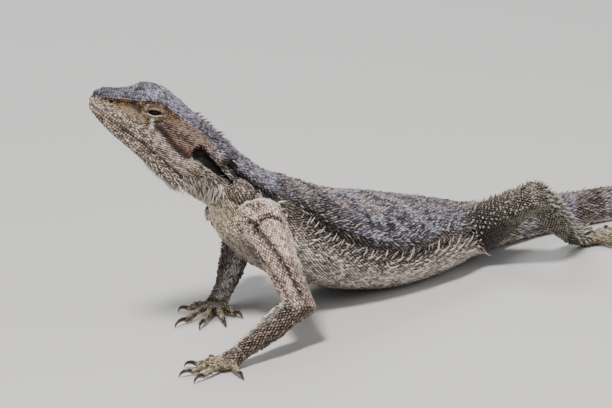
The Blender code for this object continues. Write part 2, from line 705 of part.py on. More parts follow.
def make_hand(name, limb, hand, half_width, skin):
    """Palm, digits and claws as one solid, flat on the floor where they touch it."""
    palm, tips = hand
    palm = Vector(palm)
    wrist_radius = limb[-1][1]
    path = [np.array(p, float) for p, _ in limb] + [np.array(palm)]
    wrist, run, wrist_side, wrist_up = path_frame(path, len(limb) - 1.0)
    wrist += run * (0.5 * GAP / MM)
    heel = wrist + run * 2.5
    spread = Vector((palm.x - wrist.x, palm.y - wrist.y, 0)).normalized()
    side = spread.cross(Vector((0, 0, 1))).normalized()
    front = palm + spread * 4.5
    front.z = 2.6
    pieces = []
    rings = [
        round_ring(wrist, wrist_side, wrist_up, wrist_radius, wrist_radius, LIMB_SIDES),
        round_ring(heel, wrist_side, wrist_up, wrist_radius, wrist_radius * 0.85, LIMB_SIDES),
        round_ring(palm, side, side.cross(spread), half_width, PALM_THICK, LIMB_SIDES),
        round_ring(front, side, side.cross(spread), half_width * 0.9, PALM_THICK * 0.7, LIMB_SIDES),
    ]
    base = loft(rings)
    for tip in tips:
        reach = Vector((tip[0] - palm.x, tip[1] - palm.y, 0.0))
        knuckle = palm + reach.normalized() * (half_width * 0.55)
        knuckle.z = 2.9
        pieces += digit(knuckle, tip)
    mass = shells(boolean(base, pieces, "UNION", "MANIFOLD"))[0]
    add_object(name, stand_on_floor(mass), skin)


clear_scene()
skin_back = make_material("skin_back", SKIN_BACK, 0.75)
skin_head = make_material("skin_head", SKIN_HEAD, 0.7)
skin_limb = make_material("skin_limb", SKIN_LIMB, 0.72)
skin_tail = make_material("skin_tail", SKIN_TAIL, 0.75)
eye_dark = make_material("eye_dark", EYE_DARK, 0.1)

make_head(skin_head, eye_dark)
neck = body_length(SKULL_END, NECK_END, RING_STEP, SIDES)
neck = boolean(neck, [ear_fold(1), ear_fold(-1)], "DIFFERENCE", "MANIFOLD")
add_object("neck", fused(shells(neck)[0], body_spines(SKULL_END, NECK_END)), skin_back)
for name, start, end in (("torso_front", NECK_END, CHEST_END), ("torso_rear", CHEST_END, VENT)):
    length = fused(body_length(start, end, RING_STEP, SIDES), body_spines(start, end))
    add_object(name, stand_on_floor(length), skin_back)
tail_places = (VENT, *TAIL_CUTS, TAIL_TIP)
for number, (start, end) in enumerate(zip(tail_places, tail_places[1:]), 1):
    length = body_length(start, end, RING_STEP, TAIL_SIDES, trim_end=end < TAIL_TIP)
    add_object(f"tail_{number}", stand_on_floor(fused(length, body_spines(start, end))), skin_tail)

torso_room = body_length(HEAD_COUNT + 1.0, VENT + 0.6, RING_STEP, SIDES, GAP / MM, False, False)
LIMBS = (
    (("upper_arm_left", "forearm_left"), LEFT_ARM, "hand_left", LEFT_HAND, HAND_HALF_WIDTH),
    (("upper_arm_right", "forearm_right"), RIGHT_ARM, "hand_right", RIGHT_HAND, HAND_HALF_WIDTH),
    (("thigh_left", "shank_left"), LEFT_LEG, "foot_left", LEFT_FOOT, FOOT_HALF_WIDTH),
    (("thigh_right", "shank_right"), RIGHT_LEG, "foot_right", RIGHT_FOOT, FOOT_HALF_WIDTH),
)
for names, limb, end_name, end, half_width in LIMBS:
    make_limb(names, limb, end[0], 3, skin_limb, torso_room.copy())
    make_hand(end_name, limb, end, half_width, skin_limb)

for item in bpy.data.objects:
    item.data.shade_smooth()
    item.data.set_sharp_from_angle(angle=math.radians(50))
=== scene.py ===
import json
import math

import bpy
import bmesh
import numpy as np
from mathutils import Matrix, Vector
from mathutils.bvhtree import BVHTree
from mathutils.kdtree import KDTree

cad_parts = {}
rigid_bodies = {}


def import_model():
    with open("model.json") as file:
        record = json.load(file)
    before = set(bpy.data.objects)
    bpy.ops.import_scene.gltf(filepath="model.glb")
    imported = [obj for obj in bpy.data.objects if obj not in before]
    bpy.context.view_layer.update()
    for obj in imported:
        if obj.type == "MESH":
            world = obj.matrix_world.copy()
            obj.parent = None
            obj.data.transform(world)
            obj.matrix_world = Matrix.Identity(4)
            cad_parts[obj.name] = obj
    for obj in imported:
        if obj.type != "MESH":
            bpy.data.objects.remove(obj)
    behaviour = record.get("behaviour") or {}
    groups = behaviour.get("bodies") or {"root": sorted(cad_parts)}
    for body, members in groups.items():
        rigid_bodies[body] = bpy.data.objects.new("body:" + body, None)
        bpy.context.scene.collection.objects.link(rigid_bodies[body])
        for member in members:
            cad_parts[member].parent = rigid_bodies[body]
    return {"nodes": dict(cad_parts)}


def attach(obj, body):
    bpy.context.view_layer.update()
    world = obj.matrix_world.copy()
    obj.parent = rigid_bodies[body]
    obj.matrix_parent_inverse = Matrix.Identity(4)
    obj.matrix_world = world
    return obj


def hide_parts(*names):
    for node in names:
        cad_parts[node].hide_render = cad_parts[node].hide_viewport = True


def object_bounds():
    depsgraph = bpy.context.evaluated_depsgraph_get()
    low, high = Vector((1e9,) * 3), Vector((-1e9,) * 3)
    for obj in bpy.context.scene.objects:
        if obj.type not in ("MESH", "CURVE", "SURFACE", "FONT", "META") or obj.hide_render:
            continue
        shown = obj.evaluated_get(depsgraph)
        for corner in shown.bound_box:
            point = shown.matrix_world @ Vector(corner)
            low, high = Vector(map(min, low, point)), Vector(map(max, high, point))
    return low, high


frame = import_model()
solid_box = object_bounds()

# The long body: one tapering trunk of flesh from the snout to the tip of the tail, the head held up and
# turned, the chest raised, the tail laid on the floor. It is lofted through the sections below, in mm,
# and drawn over with one skin further on.
MM = 0.001
SKIN_DEPTH = 0.45         # how far the skin lies under the tops of its scales

SNOUT = np.array((-136.3, 25.9, 114.0))
HEAD_BACK = np.array((0.673, -0.385, -0.631)) / np.linalg.norm((0.673, -0.385, -0.631))
HEAD_LEFT = np.cross(HEAD_BACK, (0, 0, 1)) / np.linalg.norm(np.cross(HEAD_BACK, (0, 0, 1)))
HEAD_UP = np.cross(HEAD_LEFT, HEAD_BACK)

# Distance behind the snout tip, then crown, brow (width, height), cheek, jaw and throat
HEAD_SECTIONS = [
    (0.8, 5.0, 2.6, 3.4, 3.6, 1.2, 2.6, -1.0, -1.8),
    (3.3, 8.0, 4.8, 5.6, 6.2, 1.4, 4.8, -2.9, -3.9),
    (8.0, 10.2, 6.6, 7.8, 8.4, 1.2, 7.0, -4.8, -5.8),
    (12.4, 13.2, 7.8, 9.8, 10.0, 0.8, 8.6, -6.2, -7.2),
    (18.0, 19.0, 9.6, 12.8, 12.0, 0.6, 10.2, -7.2, -8.4),
    (25.0, 21.0, 12.0, 16.2, 14.2, 0.4, 12.2, -8.2, -9.5),
    (31.0, 20.2, 13.0, 16.6, 16.2, 0.2, 13.8, -9.4, -10.8),
    (37.0, 18.8, 13.2, 15.4, 18.2, -0.4, 15.6, -10.7, -12.4),
    (45.0, 17.2, 13.4, 13.4, 20.4, -1.4, 17.6, -12.3, -14.4),
    (51.0, 16.0, 13.6, 12.2, 20.8, -2.2, 18.0, -13.4, -15.5),
]
BROW_OVERHANG = 1.1

# Centre, half width, rise to the back and drop to the belly of the neck, torso and tail
TRUNK_SECTIONS = [
    ((-97.3, 3.6, 77.4), 17.6, 14.4, 12.8),
    ((-91.9, 3.0, 71.2), 17.2, 13.8, 14.9),
    ((-85.8, 1.0, 61.4), 18.8, 15.6, 12.4),
    ((-78.6, 0.0, 51.1), 24.0, 18.8, 17.6),
    ((-62.8, 0.0, 38.7), 31.0, 21.2, 21.6),
    ((-43.0, 0.0, 27.0), 37.0, 22.4, 21.4),
    ((-20.0, 0.0, 20.4), 40.5, 21.4, 21.3),
    ((2.0, 0.0, 17.0), 39.0, 17.0, 18.3),
    ((20.0, 0.0, 14.2), 30.5, 12.8, 15.3),
    ((36.0, -1.0, 11.4), 18.5, 9.6, 12.2),
    ((60.0, -6.0, 8.8), 12.4, 8.4, 9.2),
    ((85.0, -16.0, 7.5), 9.8, 7.4, 7.9),
    ((115.0, -30.0, 6.6), 8.0, 6.6, 7.0),
    ((150.0, -42.0, 5.6), 6.6, 5.7, 6.0),
    ((190.0, -48.0, 4.6), 5.3, 4.7, 5.0),
    ((230.0, -45.0, 3.7), 4.1, 3.8, 4.1),
    ((270.0, -34.0, 2.7), 3.0, 2.8, 3.1),
    ((300.0, -20.0, 1.5), 1.5, 1.5, 1.8),
]
RIDGE_SWELL = 1.045
FLANK_HOLLOW = 0.955
BELLY_SWELL = 1.04
NAPE = len(HEAD_SECTIONS)          # places along the body are counted in sections from the snout
VENT = NAPE + 9.0
TAIL_TIP = NAPE + 17.0


def unit(v):
    return v / np.maximum(np.linalg.norm(v, axis=-1, keepdims=True), 1e-9)


def catmull(a, b, c, d, t):
    """The smooth curve from b to c, with a and d beyond them."""
    bend, twist = 2 * a - 5 * b + 4 * c - d, 3 * b - a - 3 * c + d
    return 0.5 * (2 * b + (c - a) * t + bend * t * t + twist * t ** 3)


def smooth_along(values, s):
    """Values of an open list at places s, smooth between its entries."""
    last = len(values) - 1
    i = np.clip(s.astype(int), 0, last - 1)
    t = (s - i).reshape(s.shape + (1,) * (values.ndim - 1))
    return catmull(values[np.maximum(i - 1, 0)], values[i], values[i + 1], values[np.minimum(i + 2, last)], t)


def heading(nodes, s, reach):
    """The way that a smooth path runs at places s, from its points that far before and behind."""
    ahead = smooth_along(nodes, np.minimum(s + reach, len(nodes) - 1.0))
    return unit(ahead - smooth_along(nodes, np.maximum(s - reach, 0.0)))


def matched(s, turn):
    """Places and turns as arrays of one length."""
    return np.broadcast_arrays(np.asarray(s, float), np.asarray(turn, float))


def head_outline(section):
    """Seven points down the left side of the head, from the crown to the throat."""
    _, crown, brow_w, brow_h, cheek_w, cheek_h, jaw_w, jaw_h, throat = section
    orbit = (0.45 * brow_w + 0.55 * cheek_w - BROW_OVERHANG, 0.55 * brow_h + 0.45 * cheek_h)
    lip = (0.5 * (cheek_w + jaw_w) + 0.25, 0.5 * (cheek_h + jaw_h))
    return [(0, crown), (brow_w, brow_h), orbit, (cheek_w, cheek_h), lip, (jaw_w, jaw_h), (0, throat)]


def trunk_outline(half_width, rise, drop):
    """The same seven points on the neck, torso or tail."""
    outline = [(0.0, rise)]
    for angle, factor in ((60, 1.0), (33, RIDGE_SWELL), (6, FLANK_HOLLOW), (-24, 1.0), (-58, BELLY_SWELL)):
        turn = math.radians(angle)
        high = factor * (rise if angle > 0 else drop) * math.sin(turn)
        outline.append((factor * half_width * math.cos(turn), high))
    return outline + [(0.0, -drop)]


body_centres = np.array([SNOUT + HEAD_BACK * section[0] for section in HEAD_SECTIONS]
                        + [section[0] for section in TRUNK_SECTIONS])
body_outlines = np.array([head_outline(section) for section in HEAD_SECTIONS]
                         + [trunk_outline(*section[1:]) for section in TRUNK_SECTIONS])


def body_surface(s, turn, grow=0.0):
    """Points of the long body, and the way to the tail there, at places s and turns from 0 to 1 round it.
    A turn of 0 is the middle of the back, and the animal's left side comes first."""
    s, turn = matched(s, turn)
    back = heading(body_centres, s, 0.35)
    left = unit(np.cross(back, (0, 0, 1)))
    half = smooth_along(body_outlines, s)
    ring = np.concatenate([half, half[:, 5:0:-1] * (-1, 1)], axis=1)
    place = (turn % 1.0) * 12
    k = place.astype(int) % 12
    rows = np.arange(len(s))
    across = catmull(*(ring[rows, (k + j) % 12] for j in (-1, 0, 1, 2)), (place - k)[:, None])
    size = np.maximum(np.linalg.norm(across, axis=1, keepdims=True), 1e-6)
    across = across * (size + grow) / size
    points = smooth_along(body_centres, s) + left * across[:, :1] + np.cross(left, back) * across[:, 1:]
    return points, back


# The limbs: four short sprawling legs, each a thick root, a straight upper length, a bent joint and a
# slimmer lower length. Each is given by points down its middle and its radius there.
LIMBS = {
    "arm_left": [((-84, -12, 52), 9.0), ((-86, -22, 49), 9.2), ((-91, -38, 36), 7.4), ((-95, -55, 19), 6.2),
                 ((-110, -54.5, 13.5), 5.9), ((-126, -53, 7.2), 4.3)],
    "arm_right": [((-78, 12, 50), 9.0), ((-78, 22, 47), 9.0), ((-69, 36, 38), 7.2), ((-57, 47, 27), 6.2),
                  ((-67, 41, 17), 5.9), ((-78, 35, 7.2), 4.3)],
    "leg_left": [((20, -12, 14), 12.0), ((22, -24, 15.5), 11.5), ((27, -42, 25), 8.8), ((32, -60, 33), 6.8),
                 ((45, -53, 21), 6.3), ((57, -46, 7.4), 4.4)],
    "leg_right": [((20, 12, 13), 12.0), ((17, 23, 13.8), 11.5), ((5, 36, 16), 8.8), ((-9, 50, 19), 6.8),
                  ((-1, 60, 13.5), 6.3), ((8, 68, 7.2), 4.4)],
}
JOINT, WRIST = 3, 5       # the elbow or knee and the wrist or ankle among these points
JOINT_PAST = 0.7          # each length runs on this far past the joint, in radii

# Palm or sole centre, and where each claw meets the floor, from the inner digit
HANDS = {
    "arm_left": ((-134, -51.5, 3.8), 5.6, [(-131, -31), (-143, -29), (-153, -40), (-155, -55), (-140, -72)]),
    "arm_right": ((-86, 30, 3.8), 5.6, [(-86, 9), (-98, 5), (-107, 13), (-111, 27), (-96, 47)]),
    "leg_left": ((66, -50, 3.8), 5.8, [(84, -38), (92, -48), (99, -60), (99, -74), (68, -74)]),
    "leg_right": ((1, 75, 3.8), 5.8, [(-12, 58), (-22, 65), (-31, 75), (-32, 88), (-2, 97)]),
}
PALM_THICK = 3.0
PALM_FRONT = (4.5, 2.6)   # the palm's front edge: how far before its centre, and its height
KNUCKLE_OUT = 0.55        # from the palm's centre, in half widths of the palm
KNUCKLE_HIGH = 2.9
TOE_RADIUS = 1.75
TOE_END_HIGH = 2.0
CLAW_SHARE = 0.3          # of the length from knuckle to claw tip


def path_frames(nodes, s):
    """Middle, direction, side and up of a smooth path at places s of its points."""
    run = heading(nodes, s, 0.5)
    side = np.cross(run, (0, 0, 1))
    steep = np.linalg.norm(side, axis=1) < 0.2
    side[steep] = np.cross(run[steep], (0.3, 1, 0))
    side = unit(side)
    return smooth_along(nodes, s), run, side, np.cross(side, run)


def tube_surface(points, radii, muscle=0.0):
    """A round length through named points: its surface as a function of place and turn."""
    nodes, radii = np.array(points, float), np.array(radii, float)

    def surface(s, turn, grow=0.0):
        s, turn = matched(s, turn)
        centre, run, side, up = path_frames(nodes, s)
        angle = 2 * math.pi * turn
        swell = muscle * np.sin(math.pi * s / (len(nodes) - 1)) * np.cos(2 * angle)
        radius = (smooth_along(radii, s) + swell + grow)[:, None]
        return centre + (side * np.cos(angle)[:, None] + up * np.sin(angle)[:, None]) * radius, run
    return surface


def ring_surface(rings):
    """A form through rings, each its middle, its two directions and its two half sizes."""
    middles, sides, ups, wide, high = (np.array([ring[k] for ring in rings], float) for k in range(5))

    def surface(s, turn, grow=0.0):
        s, turn = matched(s, turn)
        angle = 2 * math.pi * turn
        out_side = (np.cos(angle) * (smooth_along(wide, s) + grow))[:, None]
        out_up = (np.sin(angle) * (smooth_along(high, s) + grow))[:, None]
        across = unit(smooth_along(sides, s)) * out_side + unit(smooth_along(ups, s)) * out_up
        return smooth_along(middles, s) + across, heading(middles, s, 0.4)
    return surface


forms = [("body", body_surface, 0.0, TAIL_TIP, 420, 96)]      # name, surface, from, to, rings, sides
claw_paths = []
for limb_name, limb in LIMBS.items():
    palm, half_width, tips = HANDS[limb_name]
    palm = np.array(palm, float)
    path = [np.array(p, float) for p, _ in limb] + [palm]
    radii = [r for _, r in limb] + [limb[-1][1]]
    joint, past = path[JOINT], radii[JOINT] * JOINT_PAST
    before, after = unit(joint - path[JOINT - 1]), unit(path[JOINT + 1] - joint)
    upper = tube_surface(path[:JOINT + 1] + [joint + before * past], radii[:JOINT + 1] + [radii[JOINT]], 0.5)
    lower = tube_surface([joint - after * past] + path[JOINT:], [radii[JOINT]] + radii[JOINT:], 0.3)
    forms.append((f"{limb_name}_upper", upper, 0.0, JOINT + 1.0, 60, 40))
    forms.append((f"{limb_name}_lower", lower, 0.0, 3.9, 60, 40))

    wrist, run, wrist_side, wrist_up = (v[0] for v in path_frames(np.array(path), np.array([float(WRIST)])))
    spread = unit((palm - wrist) * (1, 1, 0))
    side = np.cross(spread, (0, 0, 1))
    front = palm + spread * PALM_FRONT[0]
    front[2] = PALM_FRONT[1]
    radius = radii[WRIST]
    sole = ring_surface([
        (wrist, wrist_side, wrist_up, radius, radius),
        (wrist + run * 2.5, wrist_side, wrist_up, radius, radius * 0.85),
        (palm, side, (0, 0, 1), half_width, PALM_THICK),
        (front, side, (0, 0, 1), half_width * 0.9, PALM_THICK * 0.7),
    ])
    forms.append((f"{limb_name}_palm", sole, 0.0, 3.0, 24, 40))

    for tip in tips:
        foot = np.array((*tip, 0.0))
        reach = foot - palm * (1, 1, 0)
        run = unit(reach)
        knuckle = palm + run * half_width * KNUCKLE_OUT
        knuckle[2] = KNUCKLE_HIGH
        length = np.linalg.norm((foot - knuckle) * (1, 1, 0))
        toe_length = length * (1 - CLAW_SHARE)
        end = knuckle + run * toe_length
        end[2] = TOE_END_HIGH
        joints = [knuckle, knuckle + run * toe_length * 0.38 + (0, 0, 0.9),
                  knuckle + run * toe_length * 0.72 + (0, 0, -0.3), end]
        toe = tube_surface(joints, [TOE_RADIUS * share for share in (1.15, 1.05, 0.95, 0.85)])
        forms.append((f"{limb_name}_toe", toe, 0.0, 3.0, 22, 18))
        claw_length = length * CLAW_SHARE
        claw_paths.append([end - run * 0.9, end + run * claw_length * 0.3 + (0, 0, 0.75),
                           end + run * claw_length * 0.75 + (0, 0, 0.1), foot + (0, 0, 0.2)])

# The skin: one hide over head, trunk, tail, legs and toes, thin and loose, with no seam anywhere. All the
# forms are run together, the joins between trunk and legs are eased, and then the folds, lips, brows,
# lids, nostrils and ears are worked into it.
SKIN_GRAIN = 0.7          # spacing of the skin's mesh, halved on the head
EYE = (26.3, 11.2)        # behind the snout and over the head's axis
EYE_OUT = 9.3
EYE_RADIUS = 3.6
EYE_TILT = math.radians(22)
LID_OUT = 9.6
LID_SIZES = (5.0, 3.8, 4.3)    # the lids' bulge: half sizes along, across and outward
LID_CUT = (2.85, 1.08, 3.0)    # the opening between them
LID_RIM = (2.95, 1.15)         # and its edge
NOSTRIL = (8.2, 4.9)
EAR = (52.4, 5.0)
EAR_SIZES = (2.7, 2.9)
HEAD_OVER = 40            # the head is all higher than this over the floor
LEAST_HIGH = 0.05         # the skin's least height over the floor


def head_measures(points):
    """Distance behind the snout, height over the head's axis and distance to its left."""
    away = points - SNOUT
    return away @ HEAD_BACK, away @ HEAD_UP, away @ HEAD_LEFT


def head_place(t, h, w):
    return SNOUT + HEAD_BACK * t + HEAD_UP * h + HEAD_LEFT * w


def eye_measures(t, h):
    """Places of the head's side from the eye's middle, along and across its opening."""
    a = (t - EYE[0]) * math.cos(EYE_TILT) + (h - EYE[1]) * math.sin(EYE_TILT)
    return a, (h - EYE[1]) * math.cos(EYE_TILT) - (t - EYE[0]) * math.sin(EYE_TILT)


def spread_over(surface, start, end, rings, sides, grow=-SKIN_DEPTH):
    """Points in rings over a form, as deep as the skin unless told otherwise."""
    s = np.repeat(np.linspace(start, end, rings), sides)
    return surface(s, np.tile(np.arange(sides) / sides, rings), grow)[0]


def loft_faces(rings, sides):
    """Faces between rings of points, and one over each end."""
    faces = []
    for near in range(0, (rings - 1) * sides, sides):
        for k in range(sides):
            after = (k + 1) % sides
            faces.append((near + k, near + after, near + sides + after, near + sides + k))
    return faces + [tuple(range(sides)), tuple(range((rings - 1) * sides, rings * sides))]


def closed_form(surface, start, end, rings, sides, grow=-SKIN_DEPTH):
    return spread_over(surface, start, end, rings, sides, grow), loft_faces(rings, sides)


def ellipsoid(middle, axes, sizes, rings=24, sides=32):
    points = []
    for i in range(rings + 1):
        lat = math.pi * (i + 0.02) / (rings + 0.04)
        for k in range(sides):
            lon = 2 * math.pi * k / sides
            unit_point = (math.sin(lat) * math.cos(lon), math.sin(lat) * math.sin(lon), math.cos(lat))
            points.append(middle + sum(axis * size * x for axis, size, x in zip(axes, sizes, unit_point)))
    return np.array(points), loft_faces(rings + 1, sides)


def joined(lumps):
    """Several closed forms as one set of points and faces."""
    points, faces, count = [], [], 0
    for more_points, more_faces in lumps:
        points.append(more_points)
        faces += [tuple(v + count for v in face) for face in more_faces]
        count += len(more_points)
    return np.concatenate(points), faces


def mesh_of(name, points, faces):
    """A mesh from points in mm, with its faces turned outward."""
    mesh = bpy.data.meshes.new(name)
    mesh.from_pydata((np.asarray(points) * MM).tolist(), [], faces)
    bm = bmesh.new()
    bm.from_mesh(mesh)
    bmesh.ops.recalc_face_normals(bm, faces=bm.faces)
    bm.to_mesh(mesh)
    bm.free()
    return mesh


def show(mesh, name):
    item = bpy.data.objects.new(name, mesh)
    bpy.context.scene.collection.objects.link(item)
    return item


def applied(item):
    """The object's mesh with its modifiers applied. The object itself goes."""
    mesh = bpy.data.meshes.new_from_object(item.evaluated_get(bpy.context.evaluated_depsgraph_get()))
    bpy.data.objects.remove(item, do_unlink=True)
    return mesh


def points_of(mesh):
    points = np.empty(len(mesh.vertices) * 3)
    mesh.vertices.foreach_get("co", points)
    return points.reshape(-1, 3) / MM


def normals_of(mesh):
    normals = np.empty(len(mesh.vertices) * 3, dtype=np.float32)
    mesh.vertex_normals.foreach_get("vector", normals)
    return normals.reshape(-1, 3).astype(float)


def set_points(mesh, points):
    mesh.vertices.foreach_set("co", (points * MM).ravel())
    mesh.update()


def shade_smooth(mesh):
    mesh.polygons.foreach_set("use_smooth", np.ones(len(mesh.polygons), dtype=bool))


eye_axes = (HEAD_BACK * math.cos(EYE_TILT) + HEAD_UP * math.sin(EYE_TILT),
            HEAD_UP * math.cos(EYE_TILT) - HEAD_BACK * math.sin(EYE_TILT), HEAD_LEFT)
lumps = [closed_form(*form[1:]) for form in forms]
for side in (1, -1):
    lumps.append(ellipsoid(head_place(*EYE, LID_OUT * side), eye_axes, LID_SIZES))
flesh = show(mesh_of("flesh", *joined(lumps)), "flesh")
hide = flesh.modifiers.new("hide", "REMESH")
hide.mode = "VOXEL"
hide.voxel_size = SKIN_GRAIN * MM
skin_mesh = applied(flesh)

points = points_of(skin_mesh)
t, h, w = head_measures(points)
on_head = (t < 72) & (np.hypot(h, w) < 34) & (points[:, 2] > HEAD_OVER)
bm = bmesh.new()
bm.from_mesh(skin_mesh)
finer = [edge for edge in bm.edges if on_head[edge.verts[0].index] and on_head[edge.verts[1].index]]
bmesh.ops.subdivide_edges(bm, edges=finer, cuts=1, use_grid_fill=True)
bmesh.ops.triangulate(bm, faces=[face for face in bm.faces if len(face.verts) > 4])
bm.to_mesh(skin_mesh)
bm.free()

points = points_of(skin_mesh)
edges = np.empty(len(skin_mesh.edges) * 2, dtype=np.int64)
skin_mesh.edges.foreach_get("vertices", edges)
edges = edges.reshape(-1, 2)


def eased(points, weight, rounds):
    """The skin drawn smooth, by the weight given for each of its points."""
    both = np.concatenate([edges, edges[:, ::-1]])
    share = np.bincount(both[:, 0], minlength=len(points))
    for _ in range(rounds):
        beside = points[both[:, 1]]
        total = np.stack([np.bincount(both[:, 0], beside[:, k], len(points)) for k in range(3)], axis=1)
        points = points + (total / share[:, None] - points) * weight[:, None]
    return points


def tree_of(places):
    tree = KDTree(len(places))
    for i, place in enumerate(places):
        tree.insert(place, i)
    tree.balance()
    return tree


def distance_to(places, points):
    """How far each point is from the nearest of some places."""
    tree = tree_of(places)
    return np.array([tree.find(point)[2] for point in points])


points = eased(points, np.full(len(points), 0.5), 3)
near_limbs = np.zeros(len(points))
trunk_places = spread_over(body_surface, NAPE, VENT + 1.5, 160, 90)
limb_places = np.concatenate([spread_over(surface, 0.3, 2.6, 30, 30) for name, surface, *_ in forms
                              if name.endswith("upper")])
reachable = np.flatnonzero((points[:, 0] > -115) & (points[:, 0] < 60))
apart = np.maximum(distance_to(trunk_places, points[reachable]), distance_to(limb_places, points[reachable]))
near_limbs[reachable] = np.exp(-(apart / 3.6) ** 2)
for limb in LIMBS.values():
    near_joint = np.linalg.norm(points - limb[JOINT][0], axis=1) / limb[JOINT][1]
    near_limbs = np.maximum(near_limbs, 0.8 * np.exp(-(near_joint / 1.5) ** 4))
points = eased(points, 0.6 * near_limbs, 26)
set_points(skin_mesh, points)

# Lines of the head's side, in its own measures: points, reach and height of the fold or ridge, in mm
MOUTH = ((-1, -1.0), (5.4, -1.6), (15, -2.4), (22, -2.6), (28, -3.0), (34, -4.1))
MOUTH_REACH, MOUTH_DEPTH = 0.45, 0.75
HEAD_LINES = [
    (MOUTH, MOUTH_REACH, -MOUTH_DEPTH),
    (((33, -4.0), (38, -5.0), (43.6, -6.0), (51, -6.9), (59, -7.6), (64, -9)), 0.9, -1.2),
    (((35, -1.4), (43, -2.8), (50, -2.8), (58, -3.9)), 0.8, -0.6),
    (((36, -7.6), (45, -9.2), (54, -10.0), (62, -11.5)), 0.9, -0.6),
    (((1, 0.2), (5.4, -0.4), (15, -1.1), (22, -1.3), (29, -1.9), (33, -2.8)), 0.8, 0.35),
    (((1, -2.2), (5.4, -2.8), (15, -3.7), (22, -3.9), (29, -4.6), (34, -5.8)), 0.8, 0.35),
    (((3, 4.7), (9.8, 8.4), (17.6, 12.4), (21.5, 14.4), (25.5, 15.9), (30.5, 16.4), (36, 15.4), (42, 13.4)),
     0.8, 0.7),
    (((10, 5.0), (15, 7.6), (20, 10.2)), 1.9, -0.9),
    (((20, 12.6), (26, 14.6), (31, 14.4)), 0.8, -0.5),
    (((18.5, 1.2), (22.9, 3.1), (26.3, 5.0), (29.7, 7.6), (32, 11.0)), 0.7, -0.55),
    (((18, 2.9), (22.5, 4.8), (26, 6.8), (29.5, 9.4)), 0.9, 0.35),
    (((31, 6.4), (36.1, 5.0), (41.3, 2.9), (47.9, 2.0)), 0.8, -0.7),
    (((33, 10.6), (39, 9.2), (45, 8.2)), 2.6, 0.7),
    (((40, 0.0), (47, -1.0)), 4.0, 0.8),
    (((49.5, 10.2), (54.5, 8.8), (60, 6.6), (67, 3.6)), 1.2, 0.9),
    (((50, 0.4), (56, -0.6), (62, -1.8), (68, -3.0)), 1.3, 0.6),
]
# The ear and the fold that runs back from it: points and half width of the cleft, painted near-black as
# shade, in mm
EAR_SLIT = ((52.3, 5.2, 3.2), (56.5, 4.1, 3.0), (61.0, 2.9, 2.5), (66.0, 1.6, 1.8), (72.0, 0.0, 0.9))
SLIT_DEPTH = 4.8
CLEFT_END = 74            # the dark of the cleft stops this far behind the snout
LINES_END = 76            # and all of the head's own lines here
EARDRUM = (53.6, 5.0)

# Lines of the neck and trunk: points as place along the body and place round one side from 0 to 6, then
# reach and height. The first three are the shoulder's groove, its crease and the fold under that.
BODY_LINES = [
    (((10.3, 2.9), (10.9, 2.6), (11.4, 2.3), (11.9, 2.15), (12.35, 2.25), (12.8, 2.6)), 2.6, -4.0),
    (((12.25, 4.2), (12.1, 3.8), (12.15, 3.35), (12.35, 3.0), (12.6, 2.85), (12.9, 3.0)), 1.1, 2.9),
    (((12.55, 4.2), (12.45, 3.7), (12.6, 3.3), (12.9, 3.3)), 1.4, -2.0),
    (((11.9, 4.3), (11.75, 3.6), (11.95, 3.2)), 1.2, -1.0),
    (((13.0, 2.1), (13.4, 2.2), (14.45, 2.65), (15.65, 2.85), (16.5, 2.45), (17.3, 2.4), (18.1, 2.6)),
     1.7, 1.8),
    (((13.2, 2.6), (14.4, 3.1), (15.6, 3.3), (16.6, 2.95), (17.5, 2.95), (18.3, 3.1)), 1.9, -2.3),
    (((13.6, 4.2), (14.8, 4.3), (16.2, 4.3), (17.4, 4.2)), 1.8, 0.5),
    (((13.1, 3.9), (14.2, 3.75), (15.6, 3.9), (17.0, 3.8)), 1.6, -0.6),
    (((10.9, 5.0), (11.3, 4.3), (11.5, 3.8)), 1.0, -0.9),
    (((11.4, 5.4), (11.8, 4.8), (12.0, 4.4)), 1.1, -0.9),
    (((10.3, 5.2), (10.7, 4.6), (11.0, 4.1)), 1.0, -0.7),
    (((16.9, 1.6), (17.6, 1.8), (18.4, 2.2)), 3.0, 0.8),
    (((18.0, 0.5), (18.3, 1.3), (18.5, 2.1)), 2.0, -0.7),
]
GROOVE, CREASE, UNDER_FOLD = 0, 2, 4     # where their pairs of lines, left and right, start on the hide
SHOULDER_BULB = (11.75, 2.9)
BULB_RADIUS = 4.7
BULB_RISE = 3.9

# Folds along the upper arm's muscle, as (place down the arm, turn round it); the right arm mirrors them
ARM_LINES = [
    (((1.0, 0.06), (1.4, 0.11), (1.75, 0.14), (2.15, 0.21), (2.7, 0.25)), 1.2, -1.6),
    (((0.9, -0.11), (1.5, -0.04), (2.29, 0.06), (2.9, 0.09)), 1.1, -1.3),
    (((1.1, -0.02), (1.9, 0.08), (2.7, 0.15)), 1.6, 0.5),
]


def from_line(places, line, fine=12):
    """Distance from each place to a smooth line through named points, and its share of the way there."""
    knots = np.array(line, float)
    line = smooth_along(knots, np.linspace(0, len(knots) - 1, (len(knots) - 1) * fine + 1))
    nearest, share = np.full(len(places), 1e9), np.zeros(len(places))
    for i, (a, b) in enumerate(zip(line, line[1:])):
        along = np.clip((places - a) @ (b - a) / max((b - a) @ (b - a), 1e-9), 0, 1)
        gap = np.linalg.norm(places - a - along[:, None] * (b - a), axis=1)
        closer = gap < nearest
        nearest[closer] = gap[closer]
        share[closer] = ((i + along) / (len(line) - 1))[closer]
    return nearest, share


def mottle(places, size, seed):
    """Soft random blotches from -1 to 1 of a size in mm, always alike at one place."""
    cell = places / size
    low = np.floor(cell)
    share = cell - low
    share = share * share * (3 - 2 * share)
    total = np.zeros(len(places))
    for corner in np.ndindex(2, 2, 2):
        key = (low + corner) @ (127.1, 311.7, 74.7) + seed * 53.3
        value = np.sin(key) * 43758.5453
        weight = np.prod(np.where(np.array(corner) == 1, share, 1 - share), axis=1)
        total += (value - np.floor(value)) * weight
    return 2 * total - 1


def bell(x):
    return np.exp(-x * x)


